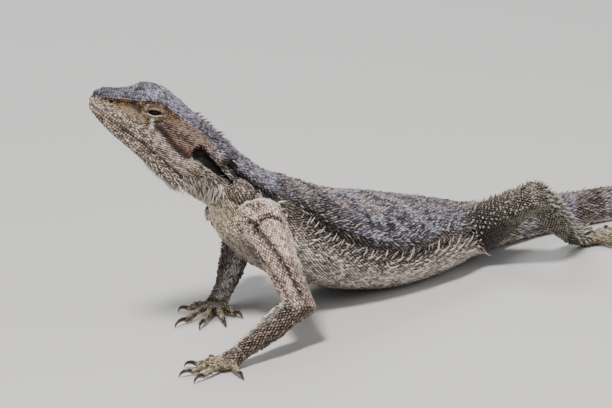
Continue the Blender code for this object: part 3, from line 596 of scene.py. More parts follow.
def step(low, high, x):
    x = np.clip((x - low) / (high - low), 0, 1)
    return x * x * (3 - 2 * x)


normals = normals_of(skin_mesh)
t, h, w = head_measures(points)
side_on = step(1.5, 3.5, np.abs(w)) * step(LINES_END, 70, t) * (points[:, 2] > HEAD_OVER)
flat_head = np.stack([t, h], axis=1)
raised = np.zeros(len(points))
nearby = np.flatnonzero(side_on > 0)
for line, reach, height in HEAD_LINES:
    gap, share = from_line(flat_head[nearby], line)
    taper = step(0, 0.12, share) * step(1, 0.8, share)
    if line[0][0] < 0:
        taper = step(1, 0.92, share)
    raised[nearby] += height * bell(gap / reach) * taper * side_on[nearby]
mouth_front = np.flatnonzero((t < 5) & (np.hypot(h, w) < 20) & (side_on < 1))
gap, _ = from_line(flat_head[mouth_front], MOUTH)
raised[mouth_front] -= MOUTH_DEPTH * bell(gap / MOUTH_REACH) * (1 - side_on[mouth_front])

eye_near = np.flatnonzero(side_on * (np.hypot(t - EYE[0], h - EYE[1]) < 9) > 0)
a, b = eye_measures(t[eye_near], h[eye_near])
lid_reach = np.hypot(a / LID_SIZES[0], b / LID_SIZES[1])
rim_reach = np.hypot(a / LID_RIM[0], b / LID_RIM[1])
raised[eye_near] += -0.6 * bell((lid_reach - 1.12) / 0.13) + 0.28 * bell((rim_reach - 1.2) / 0.22)
raised[eye_near] += -0.25 * bell((rim_reach - 1.75) / 0.18) + 0.12 * bell((rim_reach - 2.1) / 0.15)
nostril_gap = np.hypot(t - NOSTRIL[0], h - NOSTRIL[1])
raised += side_on * (0.4 * bell((nostril_gap - 1.3) / 0.6) - 1.3 * bell(nostril_gap / 0.62) * (np.abs(w) > 3))
ear_gap = np.hypot((t - EAR[0]) / EAR_SIZES[0], (h - EAR[1]) / EAR_SIZES[1])
raised += side_on * 0.4 * bell((ear_gap - 1.28) / 0.18)


def slit_reach_at(flat):
    """Distance to the middle of the cleft behind the ear in half widths, and the share of the way along."""
    gap, share = from_line(flat, [point[:2] for point in EAR_SLIT])
    half = np.interp(share, np.linspace(0, 1, len(EAR_SLIT)), [point[2] for point in EAR_SLIT])
    return gap / half, share


cleft, cleft_share = slit_reach_at(flat_head[nearby])
raised[nearby] -= SLIT_DEPTH * (1 - 0.45 * cleft_share) * np.exp(-(cleft / 0.95) ** 6) * side_on[nearby]

on_trunk = np.flatnonzero((points[:, 0] > -112) & (points[:, 0] < 35) & (points[:, 2] > 1))
trunk_points = points[on_trunk]


def on_hide(s, turn):
    """The outermost point of the skin over each named place of the trunk."""
    inner, outer = body_surface(s, turn, -SKIN_DEPTH)[0], body_surface(s, turn, 1.0)[0]
    places = []
    for base, way in zip(inner, unit(outer - inner)):
        out = (trunk_points - base) @ way
        aside = np.linalg.norm(trunk_points - base - out[:, None] * way, axis=1)
        near = np.flatnonzero((aside < 1.0) & (out > -3) & (out < 14))
        places.append(trunk_points[near[np.argmax(out[near])]] if len(near) else base)
    return np.array(places)


hide_lines = []
for line, reach, height in BODY_LINES:
    for mirror in (False, True):
        knots = np.array(line, float)
        turn = 1 - knots[:, 1] / 12 if mirror else knots[:, 1] / 12
        hide_lines.append(on_hide(knots[:, 0], turn))
        gap, share = from_line(trunk_points, hide_lines[-1])
        raised[on_trunk] += height * bell(gap / reach) * step(0, 0.12, share) * step(1, 0.88, share)
bulb_s, bulb_turn = SHOULDER_BULB[0], SHOULDER_BULB[1] / 12
bulbs = on_hide(np.full(2, bulb_s), np.array([bulb_turn, 1 - bulb_turn]))
for middle in bulbs:
    gap = np.linalg.norm(points - middle, axis=1)
    raised += BULB_RISE * np.exp(-(gap / BULB_RADIUS) ** 4) - 1.2 * bell((gap - 6.6) / 1.2)
for name, surface, *_ in forms:
    if name.startswith("arm") and name.endswith("upper"):
        near_arm = on_trunk[np.abs(points[on_trunk, 1]) > 14]
        for line, reach, height in ARM_LINES:
            knots = np.array(line, float)
            turn = knots[:, 1] if "left" in name else 0.5 - knots[:, 1]
            gap, share = from_line(points[near_arm], surface(knots[:, 0], turn, -SKIN_DEPTH)[0])
            raised[near_arm] += height * bell(gap / reach) * step(0, 0.12, share) * step(1, 0.85, share)
loose = step(-40, -70, points[:, 0]) * (t > 30) + 0.7 * (points[:, 0] > -70)
raised += loose * (0.42 * mottle(points, 4.8, 21) + 0.2 * mottle(points, 2.4, 22))
raised += 0.16 * mottle(points, 2.6, 23) * (t < 45) * (points[:, 2] > 60)
points = points + normals * raised[:, None]
points = eased(points, np.where(raised != 0, 0.25, 0.0), 1)
points[:, 2] = np.maximum(points[:, 2], LEAST_HIGH)
set_points(skin_mesh, points)
for k, knots in enumerate(hide_lines):
    beside = [on_trunk[np.argmin(np.linalg.norm(trunk_points - knot, axis=1))] for knot in knots]
    hide_lines[k] = points[beside]

skin = show(skin_mesh, "skin")
cuts = bpy.data.collections.new("lid openings")
for side in (1, -1):
    for axes, sizes, out in (((HEAD_BACK, HEAD_UP, HEAD_LEFT), [EYE_RADIUS + 0.15] * 3, EYE_OUT),
                             (eye_axes, LID_CUT, EYE_OUT + EYE_RADIUS + 0.6)):
        cut_form = ellipsoid(head_place(*EYE, out * side), axes, sizes)
        cut = bpy.data.objects.new("opening", mesh_of("opening", *cut_form))
        cut.hide_render = True
        cut.display_type = "WIRE"
        cuts.objects.link(cut)
bpy.context.scene.collection.children.link(cuts)
opening = skin.modifiers.new("lid openings", "BOOLEAN")
opening.operation = "DIFFERENCE"
opening.operand_type = "COLLECTION"
opening.collection = cuts
opening.solver = "MANIFOLD"
skin_mesh = applied(skin)
for cut in list(cuts.objects):
    bpy.data.objects.remove(cut, do_unlink=True)
bpy.data.collections.remove(cuts)
skin_mesh.name = "skin"
skin = show(skin_mesh, "skin")
shade_smooth(skin_mesh)
skin_faces = [tuple(polygon.vertices) for polygon in skin_mesh.polygons]
skin_tree = BVHTree.FromPolygons([tuple(point) for point in points_of(skin_mesh)], skin_faces)
skin_normals = normals_of(skin_mesh)
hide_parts(*[name for name in frame["nodes"] if not name.startswith("eye")])
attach(skin, "root")

# The markings: slate-grey cap and back with dark specks, mottled brown under the brow, a rust band from the
# eye to the ear, sandy cheeks, pale chest and belly, and banded legs and tail. Painted shade goes with them:
# a dark band under the back's overhanging edge, dark in the shoulder's groove and folds, in the ear's cleft,
# in the mouth's line and the sunk folds of the head, at the hip and at the thigh's root, and painted light on
# a pale patch of the rear flank. They belong to the hide, so the skin and each scale take them from here.


def paint(red, green, blue):
    """A colour given in everyday 0 to 255 values, as light."""
    share = np.array((red, green, blue)) / 255
    return np.where(share < 0.04045, share / 12.92, ((share + 0.055) / 1.055) ** 2.4)


SLATE = paint(130, 127, 147)
ASH = paint(163, 158, 174)
SOOT = paint(46, 40, 42)
UMBER = paint(84, 66, 58)
BARK = paint(58, 40, 32)
OCHRE = paint(126, 90, 54)
LID_TAN = paint(138, 116, 82)
LORE = paint(144, 124, 94)
TEMPLE = paint(142, 116, 104)
RUST = paint(122, 80, 56)
SAND = paint(178, 162, 148)
MUZZLE = paint(170, 154, 140)
THROAT = paint(164, 150, 136)
PEARL = paint(222, 214, 206)
SHELL = paint(204, 182, 168)
FLANK = paint(168, 154, 146)
BELLY = paint(210, 199, 190)
CHEST = paint(236, 218, 190)
ARM = paint(246, 214, 198)
FOREARM = paint(104, 86, 74)
INNER = paint(244, 236, 226)
HAND = paint(168, 152, 122)
LEG = paint(114, 109, 92)
TAIL = paint(150, 138, 126)
# painted shade: the near-black inside the ear's cleft
CLEFT_SHADE = paint(20, 15, 15)
DRUM = paint(88, 66, 56)
# Edges of the markings: the grey cap's on the head's side, the back's along the body, and the rust band's
CAP_EDGE = ((0, 3.6), (3, 4.4), (9.8, 8.0), (17.6, 12.0), (23.2, 15.4), (28, 16.8), (34, 16.0), (42, 14.6),
            (50, 13.2), (56, 11.4), (75, 7.0))
BACK_EDGE = ((10, 2.5), (11, 2.4), (13, 2.2), (14.5, 2.7), (15.7, 2.9), (16.5, 2.55), (17.5, 2.6),
             (18.5, 2.7), (27, 2.7))
BAND_LOW = ((30.5, 6.6), (36.1, 5.0), (41.3, 2.9), (48.2, 2.2))
BAND_HIGH = ((31.5, 9.6), (37.9, 8.4), (43.5, 7.6), (47.8, 7.4))
# How far the brown under the brow reaches below the cap, from the snout back
CANTHUS = ((2, 1.5), (9, 3.4), (16, 4.4), (22, 6.5), (30, 7.0), (38, 5.0), (48, 1.5))
TAIL_BAND = 21.0          # from one dark band of the tail to the next, in mm

# Small marks of the head's side: place, size, colour and strength
FACE_MARKS = [
    ((19.8, 8.6), 1.3, BARK * 0.7, 1.0), ((17.6, 9.6), 1.1, BARK, 0.9), ((21.2, 13.4), 0.8, BARK, 0.8),
    ((23.2, 14.6), 0.7, BARK, 0.7), ((25.4, 15.0), 0.8, BARK, 0.8), ((28.7, 15.6), 0.9, BARK, 0.8),
    ((30.6, 13.2), 1.0, BARK, 0.6), ((16.5, -0.6), 1.0, BARK, 0.7), ((20.0, 0.8), 0.7, BARK, 0.6),
    ((22.3, -1.2), 0.9, BARK, 0.7), ((12.6, 4.4), 0.8, BARK, 0.6), ((28.6, -2.6), 1.2, BARK, 0.8),
    ((25.5, 0.6), 0.7, BARK, 0.5), ((20.4, -4.2), 0.8, BARK, 0.6), ((15.0, -4.0), 0.7, BARK, 0.5),
]
# Short bars beside and below the eye: points, half width and colour
EYE_BARS = [
    (((27.2, 7.9), (27.8, 6.4), (28.3, 5.0)), 0.75, PEARL),
    (((25.5, 7.2), (26.1, 5.9), (26.6, 4.9)), 0.65, BARK),
    (((29.2, 8.2), (29.9, 6.8), (30.4, 5.4)), 0.75, BARK),
    (((15.6, 11.0), (18.0, 9.7), (20.6, 8.2)), 1.0, BARK * 0.5),
]


def mix(a, b, share):
    return a + (b - a) * np.clip(share, 0, 1)[:, None]


def painted(tone, *coats):
    """Colours laid over a tone one after another, each by its share."""
    for colour, share in coats:
        tone = mix(tone, colour, share)
    return tone


def stretch(x, low, full, fading, high):
    """1 between full and fading, running out to 0 at low and high."""
    return step(low, full, x) * step(high, fading, x)


def reach_of(x, line):
    """The second measure of a line through named points, at places x of its first."""
    return np.interp(x, *np.array(line).T)


def folded(turn):
    """Place round one side from 0 on the back to 6 under the belly."""
    return 12 * np.minimum(turn % 1.0, 1 - turn % 1.0)


def under_edge(s, turn):
    """How far round from the back's edge, towards the belly."""
    return folded(turn) - reach_of(s, BACK_EDGE)


def head_tone(places):
    """The head's colours and how light the tips of its scales are."""
    t, h, w = head_measures(places)
    flat = np.stack([t, h], axis=1)
    side = step(2.0, 4.0, np.abs(w))
    fine, broad = mottle(places, 1.7, 1), mottle(places, 5.0, 2)
    below = reach_of(t, CAP_EDGE) - h
    depth = reach_of(t, CANTHUS) + 0.8 * broad
    brown = painted(OCHRE, (BARK, 0.7 * step(-0.1, 0.4, mottle(places, 2.3, 11))),
                    (LORE, 0.6 * step(0.3, 0.6, mottle(places, 1.8, 12))))
    tone = painted(
        mix(SAND, MUZZLE, step(24, 14, t)),
        (THROAT, step(-7, -11, h) * step(10, 30, t)),
        (UMBER, 0.62 * stretch(h, -22, -14, -6.0, -3.5) * step(24, 34, t) * (0.8 + 0.2 * broad)),
        (UMBER, 0.7 * step(0.05, 0.5, fine) * step(33, 20, t)),
        (UMBER, 0.45 * step(0.15, 0.7, fine) * step(25, 33, t)),
        (LORE, 0.92 * stretch(t, 3, 8, 29, 33) * step(2.6, 4.4, h + 0.6 * broad)),
        (TEMPLE, stretch(t, 30, 34, 50, 58) * stretch(below, -1.0, 0.0, 6, 10) * side),
        (brown, 0.92 * stretch(t, 2, 6, 31, 42) * step(-0.8, 0.0, below) * step(1.15, 0.7, below / depth)))

    over, eye = h - EYE[1], np.hypot(t - EYE[0], (h - EYE[1]) * 1.15)
    a, b = eye_measures(t, h)
    ring = np.hypot(a / LID_CUT[0], b / LID_CUT[1])
    rays = np.sin(np.arctan2(over, t - EYE[0]) * 10.0 + 2.5 * broad)
    bars = step(-0.1, 0.5, rays) * step(1.9, 2.6, ring) * step(7.6, 6.0, eye)
    low_gap, high_gap = (from_line(flat, line)[0] for line in (BAND_LOW, BAND_HIGH))
    low, high = reach_of(t, BAND_LOW), reach_of(t, BAND_HIGH)
    band = step(low - 0.3, low + 0.3, h) * step(high + 0.3, high - 0.3, h) * stretch(t, 30, 31.5, 49, 51)
    up_band = np.clip((h - low) / np.maximum(high - low, 0.5), 0, 1)
    rust = painted(RUST, (TEMPLE, step(0.35, 0.8, up_band)), (UMBER, 0.5 * step(0.0, 0.6, fine)))
    tone = painted(tone, *((colour, share * side) for colour, share in (
        (LID_TAN, 0.85 * step(6.4, 4.6, eye)),
        (OCHRE, 0.6 * stretch(eye, 3.5, 5.0, 5.0, 7.0) * step(-0.5, 1.5, over)),
        (BARK, 0.75 * step(0.0, 0.35, mottle(places, 1.3, 9)) * step(6.5, 5.0, eye)),
        (SAND, 0.6 * step(0.0, 0.4, mottle(places, 1.2, 10)) * step(6.5, 5.0, eye)),
        (BARK, 0.8 * bars * np.where(over > 0.3 * (t - EYE[0]), 1.0, 0.45)),
        (PEARL * 0.8, 0.85 * bell((ring - 1.5) / 0.28) * step(-0.3, -0.9, b)),
        (BARK * 0.6, 0.9 * bell((ring - 1.1) / 0.3) * step(-0.9, -0.2, b)),
        (BARK, 0.7 * bell((ring - 2.3) / 0.3) * step(-0.3, 0.6, b) * step(-0.9, 0.3, fine)),
        (UMBER, 0.5 * bell((ring - 3.3) / 0.4) * step(0.3, -0.6, b) * step(-0.6, 0.3, fine)),
        (BARK * 0.8, 0.9 * bell((a - 3.6) / 1.1) * bell(b / 0.5)),
        (BARK * 0.8, 0.9 * bell((a + 3.7) / 1.1) * bell((b + 0.1) / 0.5)),
        (BARK, 0.75 * bell((a - 6.6) / 1.6) * bell((b - 2.2) / 1.8)),
        *((colour, 0.95 * bell(from_line(flat, line)[0] / size)) for line, size, colour in EYE_BARS),
        (rust, 0.9 * band),
        (BARK * 0.8, np.exp(-(low_gap / 1.5) ** 4)),
        (BARK, 0.9 * bell(high_gap) * step(-0.8, -0.2, fine)),
        *((colour, strength * bell(np.hypot(*(flat - place).T) / size))
          for place, size, colour, strength in FACE_MARKS))))

    mouth, _ = from_line(flat, MOUTH)
    cleft, _ = slit_reach_at(flat)
    inside = np.exp(-(cleft / 1.02) ** 8) * side * (t < CLEFT_END)
    slate = painted(
        mix(SLATE, ASH, 0.5 + 0.5 * broad),
        (SLATE * 0.5, 0.95 * step(22, 5, t)),
        (SLATE * 0.6, step(48, 60, t)),
        (SOOT, 0.75 * step(0.05, 0.55, fine)))
    tone = painted(
        tone,
        (BARK, 0.6 * bell(mouth / 1.8) * step(12, 20, t) * step(-0.4, 0.4, fine)),
        # painted shade: dark in the mouth's line and in the sunk folds of the cheek and neck
        (BARK, bell(mouth / 0.7) * (0.15 + 0.6 * step(14, 22, t))),
        *((BARK, strength * bell(from_line(flat, line)[0] / 0.8) * side)
          for (line, _, _), strength in zip(HEAD_LINES[1:4], (0.85, 0.55, 0.6))),
        (slate, step(-0.7, 0.3, -below) + (1 - side) * (h > 0)),
        # painted shade: near-black in the ear's cleft, the drum in its own brown
        (mix(CLEFT_SHADE * 0.35, DRUM, bell(np.hypot(t - EARDRUM[0], h - EARDRUM[1]) / 1.7)), inside))
    return tone, 0.2 + 0.3 * (h < 0) - 0.5 * inside - 0.2 * bell(low_gap / 2.2)


def trunk_tone(places, s, turn):
    """The same on the neck, trunk and tail."""
    q, below = folded(turn), under_edge(s, turn)
    fine, middling, broad = mottle(places, 1.9, 3), mottle(places, 3.6, 5), mottle(places, 8.0, 4)
    torso, chest = step(12.6, 13.4, s), step(11, 12, s)
    front, middle = stretch(s, 12.4, 13.0, 14.0, 15.4), stretch(s, 12.8, 13.5, 18.4, 19.2)
    patch = bell(((s * 1.15) % 1.0 - 0.62) / 0.2) * bell((q - 0.9) / 0.75) * middle
    back = painted(
        mix(SLATE, ASH, 0.5 + 0.5 * broad),
        (UMBER, 0.5 * step(0.0, 0.6, middling)),
        (UMBER, 0.5 * front),
        (SOOT, 0.5 * front * step(1.0, 2.0, q)),
        (SOOT, (0.85 - 0.25 * step(12.8, 12.2, s)) * step(0.0, 0.35, fine)),
        (SHELL, 0.75 * patch * step(-0.5, 0.1, fine)),
        (SOOT, 0.5 * bell((below + 0.12) / 0.3) * torso * step(-0.3, 0.4, middling)),
        (SOOT, 0.35 * step(15.8, 17.0, s)))
    flank = painted(
        mix(FLANK, SAND, 0.35 + 0.45 * middling),
        (SOOT, 0.65 * step(-0.1, 0.4, fine)),
        (UMBER, 0.75 * step(14.6, 13.6, s)),
        # painted shade: the top of the flank darker under the back's edge
        (BARK, 0.75 * step(1.2, 0.7, below + 0.2 * middling) * step(13.2, 13.8, s)))
    low = painted(
        mix(BELLY, UMBER, 0.6 * step(0.05, 0.5, fine + 0.4 * broad)),
        (UMBER, 0.65 * step(4.7, 5.2, q)))
    neck_side = painted(
        mix(THROAT, CHEST, chest),
        (UMBER, (0.7 - 0.25 * chest) * step(0.0, 0.5, fine + 0.4 * broad)),
        (BARK, 0.5 * stretch(s, 9.0, 9.8, 11.0, 11.6) * stretch(q, 3.2, 3.7, 4.9, 5.4)))
    length = np.interp(s, np.arange(len(body_centres)), body_centres[:, 0])
    bands = step(-0.2, 0.4, np.sin(length * 2 * math.pi / TAIL_BAND + 1.2 * broad))
    tail = painted(
        mix(TAIL, SLATE, 0.5 + 0.5 * broad),
        (UMBER, 0.75 * bands),
        (SOOT, 0.6 * step(0.1, 0.6, fine)),
        (BELLY, 0.7 * step(4.2, 5.0, q)))
    # painted shade: a dark band under the overhanging edge of the back
    dark = bell((below - 0.42) / 0.36) * torso * step(19.2, 18.6, s) * (0.75 + 0.25 * broad)
    # painted light: a pale patch on the rear flank where light falls
    rear_light_patch = bell(np.hypot((s - 17.3) * 1.1, (q - 3.1) * 1.3) / 0.8)
    tone = painted(
        back,
        (flank, step(-0.2, 0.35, below + 0.25 * middling)),
        (SOOT, 0.66 * dark),
        (mix(low, neck_side, step(13.2, 12.6, s)), step(0.85, 1.5, below)),
        (neck_side, step(13.0, 12.4, s) * step(0.1, 0.5, below)),
        (SHELL, 0.7 * rear_light_patch * step(-0.5, 0.2, middling)),
        # painted shade: a dark band on the side where the thigh meets the body
        (SOOT, 0.9 * bell((s - 18.9) / 0.55) * stretch(q, 0.8, 1.8, 4.0, 5.0)),
        (tail, step(VENT - 0.2, VENT + 0.8, s)))
    return tone, 0.15 + 0.45 * step(0.1, 0.6, below)


def limb_tone(places, name, s, turn):
    """The same on the legs, hands and feet."""
    fine, broad = mottle(places, 1.8, 6), mottle(places, 6.0, 7)
    part = name.rsplit("_", 1)[1]
    arm = name.startswith("arm")
    around = turn if "left" in name else 0.5 - turn
    tips = np.full(len(places), 0.55 if arm else 0.65)
    if part in ("palm", "toe"):
        tone = painted(
            mix(HAND, UMBER, 0.6 * step(-0.1, 0.4, np.sin(s * 7.0 + 2.0 * broad))),
            (BARK, 0.6 * step(0.1, 0.6, fine)))
    elif arm and part == "upper":
        streaks = np.sin(2 * math.pi * turn * 5 + 1.6 * s + 1.2 * broad)
        tone = painted(
            mix(ARM, UMBER, 0.4 * step(0.1, 0.7, streaks)),
            (UMBER, 0.7 * step(2.0, 2.9, s + 0.4 * broad)),
            (SOOT, 0.4 * step(0.15, 0.6, fine)))
        unrolled = np.stack([s, ((around + 0.5) % 1 - 0.5) * 8], axis=1)
        for line, _, height in ARM_LINES:
            gap, _ = from_line(unrolled, np.array(line) * (1, 8))
            # painted shade along the sunk folds, with no pale tips there; the raised folds are pale
            if height < 0:
                fold_shade = np.exp(-(gap / 0.3) ** 4)
                tone = mix(tone, BARK * 0.8, 0.92 * fold_shade)
                tips = tips * (1 - fold_shade)
            else:
                tone = mix(tone, SHELL, 0.85 * np.exp(-(gap / 0.5) ** 4))
    elif arm:
        inner = bell(((around - 0.12 + 0.5) % 1 - 0.5) / 0.13)
        tone = painted(
            mix(FOREARM, UMBER, 0.3 + 0.45 * step(-0.3, 0.4, np.sin(s * 4.6 + 2.2 * broad))),
            (INNER, 0.95 * inner),
            (BARK, (0.85 - 0.6 * inner) * step(-0.1, 0.3, fine)))
    else:
        tone = painted(
            mix(LEG, UMBER, 0.6 * step(-0.1, 0.5, np.sin(s * 4.2 + 1.8 * broad))),
            (SOOT, 0.9 * step(-0.2, 0.3, fine)))
        if part == "upper":
            # painted shade: near-black at the thigh's root, with its scale tips less pale there
            tone = painted(tone, (SOOT, 0.97 * step(2.9, 1.4, s)), (SHELL, 0.4 * step(3.2, 3.9, s)))
            tips = 0.2 + 0.55 * step(1.6, 3.2, s)
    return tone, tips


def shoulder_tone(places, tone):
    """The marks round the shoulder: the pale speckled bulb and the pale crease under it, with painted shade
    in the groove, round the bulb's edge and in the fold under the crease.
    """
    near = np.flatnonzero((places[:, 0] < -62) & (places[:, 0] > -118) & (places[:, 2] > 22))
    if not len(near):
        return tone
    spots, local = places[near], tone[near]
    speckled = mix(THROAT, UMBER, 0.75 * step(0.15, 0.45, mottle(spots, 1.6, 8)))
    for side in (0, 1):
        groove, under = (from_line(spots, hide_lines[pair + side])[0] for pair in (GROOVE, UNDER_FOLD))
        crease, share = from_line(spots, hide_lines[CREASE + side])
        bulb = np.linalg.norm(spots - bulbs[side], axis=1)
        local = painted(
            local,
            # painted shade: dark in the groove, round the bulb's edge and in the fold under the crease
            (SOOT * 0.45, 0.97 * np.exp(-(groove / 2.9) ** 4)),
            (SOOT, 0.75 * bell((bulb - 6.4) / 1.1)),
            (speckled, 0.95 * step(6.0, 4.8, bulb)),
            (SOOT * 0.6, 0.9 * bell(under / 1.5)),
            (PEARL, 0.95 * np.exp(-(crease / (0.8 + 0.9 * share)) ** 4)))
    tone = tone.copy()
    tone[near] = local
    return tone


def tone_of(name, places, s, turn):
    if name != "body":
        return limb_tone(places, name, s, turn)
    head, head_tips = head_tone(places)
    trunk, trunk_tips = trunk_tone(places, s, turn)
    past = step(NAPE - 0.6, NAPE + 0.5, s)
    return mix(head, trunk, past), head_tips + (trunk_tips - head_tips) * past


class Wire:
    """One output in a material's node tree. Arithmetic on it adds Math nodes."""

    def __init__(self, tree, socket=None):
        self.tree, self.socket = tree, socket

    def node(self, kind, output, settings=(), **inputs):
        """Adds a node, its settings first, then what its inputs take. Gives one of its outputs."""
        node = self.tree.nodes.new(kind)
        for key, value in dict(settings).items():
            setattr(node, key, value)
        for key, value in inputs.items():
            numbered = key[0] == "i" and key[1:].isdigit()
            socket = node.inputs[int(key[1:]) if numbered else key.replace("_", " ")]
            if isinstance(value, Wire):
                self.tree.links.new(value.socket, socket)
            else:
                socket.default_value = value
        return Wire(self.tree, node.outputs[output])

    def math(self, operation, *values):
        inputs = {f"i{k}": value for k, value in enumerate(values)}
        return self.node("ShaderNodeMath", 0, {"operation": operation}, **inputs)

    def __add__(self, other):
        return self.math("ADD", self, other)

    def __radd__(self, other):
        return self.math("ADD", other, self)

    def __sub__(self, other):
        return self.math("SUBTRACT", self, other)

    def __rsub__(self, other):
        return self.math("SUBTRACT", other, self)

    def __mul__(self, other):
        return self.math("MULTIPLY", self, other)

    def __rmul__(self, other):
        return self.math("MULTIPLY", other, self)

    def times(self, colour):
        """This colour multiplied by another."""
        settings = {"data_type": "RGBA", "blend_type": "MULTIPLY"}
        return self.node("ShaderNodeMix", 2, settings, i0=1.0, i6=self, i7=colour)

    def mixed(self, a, b):
        """Colour a turning into colour b as this value goes from 0 to 1."""
        return self.node("ShaderNodeMix", 2, {"data_type": "RGBA"}, i0=self, i6=a, i7=b)

    def between(self, low, high):
        """A smooth rise from 0 to 1 as this value goes from low to high."""
        settings = {"interpolation_type": "SMOOTHSTEP"}
        return self.node("ShaderNodeMapRange", 0, settings, Value=self, From_Min=low, From_Max=high)

    def attribute(self, name, output="Fac"):
        return self.node("ShaderNodeAttribute", output, {"attribute_name": name})

    def noise(self, **inputs):
        return self.node("ShaderNodeTexNoise", "Fac", **inputs)

    def into(self, shader, socket):
        self.tree.links.new(self.socket, shader.inputs[socket])


def new_finish(name, **plain):
    """A material with its plain values set, its shader and the start of its wires."""
    material = bpy.data.materials.new(name)
    material.use_nodes = True
    shader = material.node_tree.nodes["Principled BSDF"]
    for socket, value in plain.items():
        shader.inputs[socket.replace("_", " ")].default_value = value
    return material, shader, Wire(material.node_tree)


# Its finish: dull horn in the colours of the markings, with a little dust and fine dark flecks. It is dark
# between the scales and at their roots, partly darker skin and partly painted shade, and pale on their keels
# and tips, partly pale horn and partly painted highlight
GAP_DARK_AND_SHADE = (0.11, 0.085, 0.075, 1)
PALE_TIP_AND_HIGHLIGHT = (0.66, 0.58, 0.49, 1)
DUST = (0.30, 0.26, 0.22, 1)
FLECK = (0.03, 0.022, 0.02, 1)
hide_finish, shader, start = new_finish("hide", Specular_IOR_Level=0.35)
tone = start.attribute("tone", "Color")
shade = start.attribute("shade")
tips = start.attribute("tips")
where = start.node("ShaderNodeTexCoord", "Object")
speck = start.noise(Vector=where, Scale=2600.0, Detail=3.0)
grime = start.noise(Vector=where, Scale=420.0, Detail=4.0, Roughness=0.6)
# the scales' roots and the skin between them go dark: partly darker skin, partly painted shade
deep = shade.between(0.06, 0.6).mixed(tone.times(GAP_DARK_AND_SHADE), tone)
# keels and tips go pale: partly pale horn, partly painted highlight
tipped_and_lit = (tips * shade.between(0.62, 1.0)).mixed(deep, PALE_TIP_AND_HIGHLIGHT)
dusty = (0.16 * grime.between(0.5, 0.8) * shade.between(0.1, 0.5)).mixed(tipped_and_lit, DUST)
(0.30 * speck.between(0.55, 0.8)).mixed(dusty, FLECK).into(shader, "Base Color")
(0.62 + 0.2 * grime - 0.1 * shade).into(shader, "Roughness")
relief = start.node("ShaderNodeBump", "Normal", Strength=0.5, Distance=0.0002, Height=speck * 0.6 + grime)
relief.into(shader, "Normal")

# The scales: horny, keeled and pointed over the body, small and round on the muzzle, lips and lids. Each
# grows from the skin and points to the tail or to the toes. They are laid row by row on each form in
# staggered rings, set down on the skin and turned with it.

# Each kind of scale: its points as along, across and up in shares of its size, then shade, and its faces
KEELED = (np.array([
    (-0.50, 0.00, -0.15, 0.0), (-0.34, 0.36, -0.15, 0.0), (0.02, 0.52, -0.12, 0.0),
    (0.36, 0.33, -0.06, 0.05), (0.66, 0.00, 0.24, 0.8), (0.36, -0.33, -0.06, 0.05),
    (0.02, -0.52, -0.12, 0.0), (-0.34, -0.36, -0.15, 0.0), (-0.26, 0.00, 0.14, 0.45),
    (0.02, 0.27, 0.14, 0.6), (0.02, -0.27, 0.14, 0.6), (0.28, 0.00, 0.34, 1.0),
]), [(0, 8, 1), (1, 9, 2), (1, 8, 9), (2, 9, 3), (3, 9, 11), (9, 8, 11), (3, 11, 4),
     (0, 7, 8), (7, 6, 10), (7, 10, 8), (6, 5, 10), (5, 11, 10), (10, 11, 8), (5, 4, 11), (3, 4, 5)])
GRANULE = (np.array(
    [(0.52 * math.cos(a), 0.50 * math.sin(a), -0.15, 0.0) for a in np.arange(6) * math.pi / 3]
    + [(0.36 * math.cos(a) + 0.03, 0.34 * math.sin(a), 0.12, 0.65) for a in np.arange(6) * math.pi / 3]
    + [(0.06, 0.0, 0.20, 0.9)]),
    [face for k in range(6) for face in
     ((k, (k + 1) % 6, 6 + (k + 1) % 6), (k, 6 + (k + 1) % 6, 6 + k), (6 + k, 6 + (k + 1) % 6, 12))])


def spine_shape(sides=5):
    """A slightly bent thorn: its foot on the skin, a waist and its tip."""
    rings = ((0.0, 0.46, -0.22, 0.0), (0.16, 0.36, 0.16, 0.35), (0.50, 0.19, 0.60, 0.85))
    points = []
    for along, radius, high, shade in rings:
        for k in range(sides):
            turn = 2 * math.pi * k / sides
            points.append((along + 0.6 * radius * math.cos(turn), radius * math.sin(turn), high, shade))
    faces = []
    for ring in range(2):
        for k in range(sides):
            a, b = ring * sides + k, ring * sides + (k + 1) % sides
            faces += [(a, b, b + sides), (a, b + sides, a + sides)]
    faces += [(2 * sides + k, 2 * sides + (k + 1) % sides, 3 * sides) for k in range(sides)]
    return np.array(points + [(1.0, 0.0, 0.95, 1.0)]), faces


SPINE = spine_shape()
coat = {}                 # for each coat piece, the batches of scales laid for it
OUTSIDE = 6.5             # scales come down on the skin from this far out, in mm
MOST_RAISED = 4.8         # as far as the skin may stand over or under the plain form
MOST_SUNK = 5.2
CREASE_ROOM = 0.75        # scales keep this far from the middle of the smooth crease
CLOSE_ROWS = 2.0          # rows closer than this also keep clear of the scales laid before
CLEAR = 0.55              # by this share of their spacing
LID_ROOM = (5.9, 4.0)     # only the rows laid round the lids come into this ellipse
DARKEST, PALEST = 0.002, 0.9
WHOLE_CHART = (0, 0, 1, 1)     # a part of the chart: its corner, width and height
INNER_CHART = (0, 0, 0.9, 0.9)


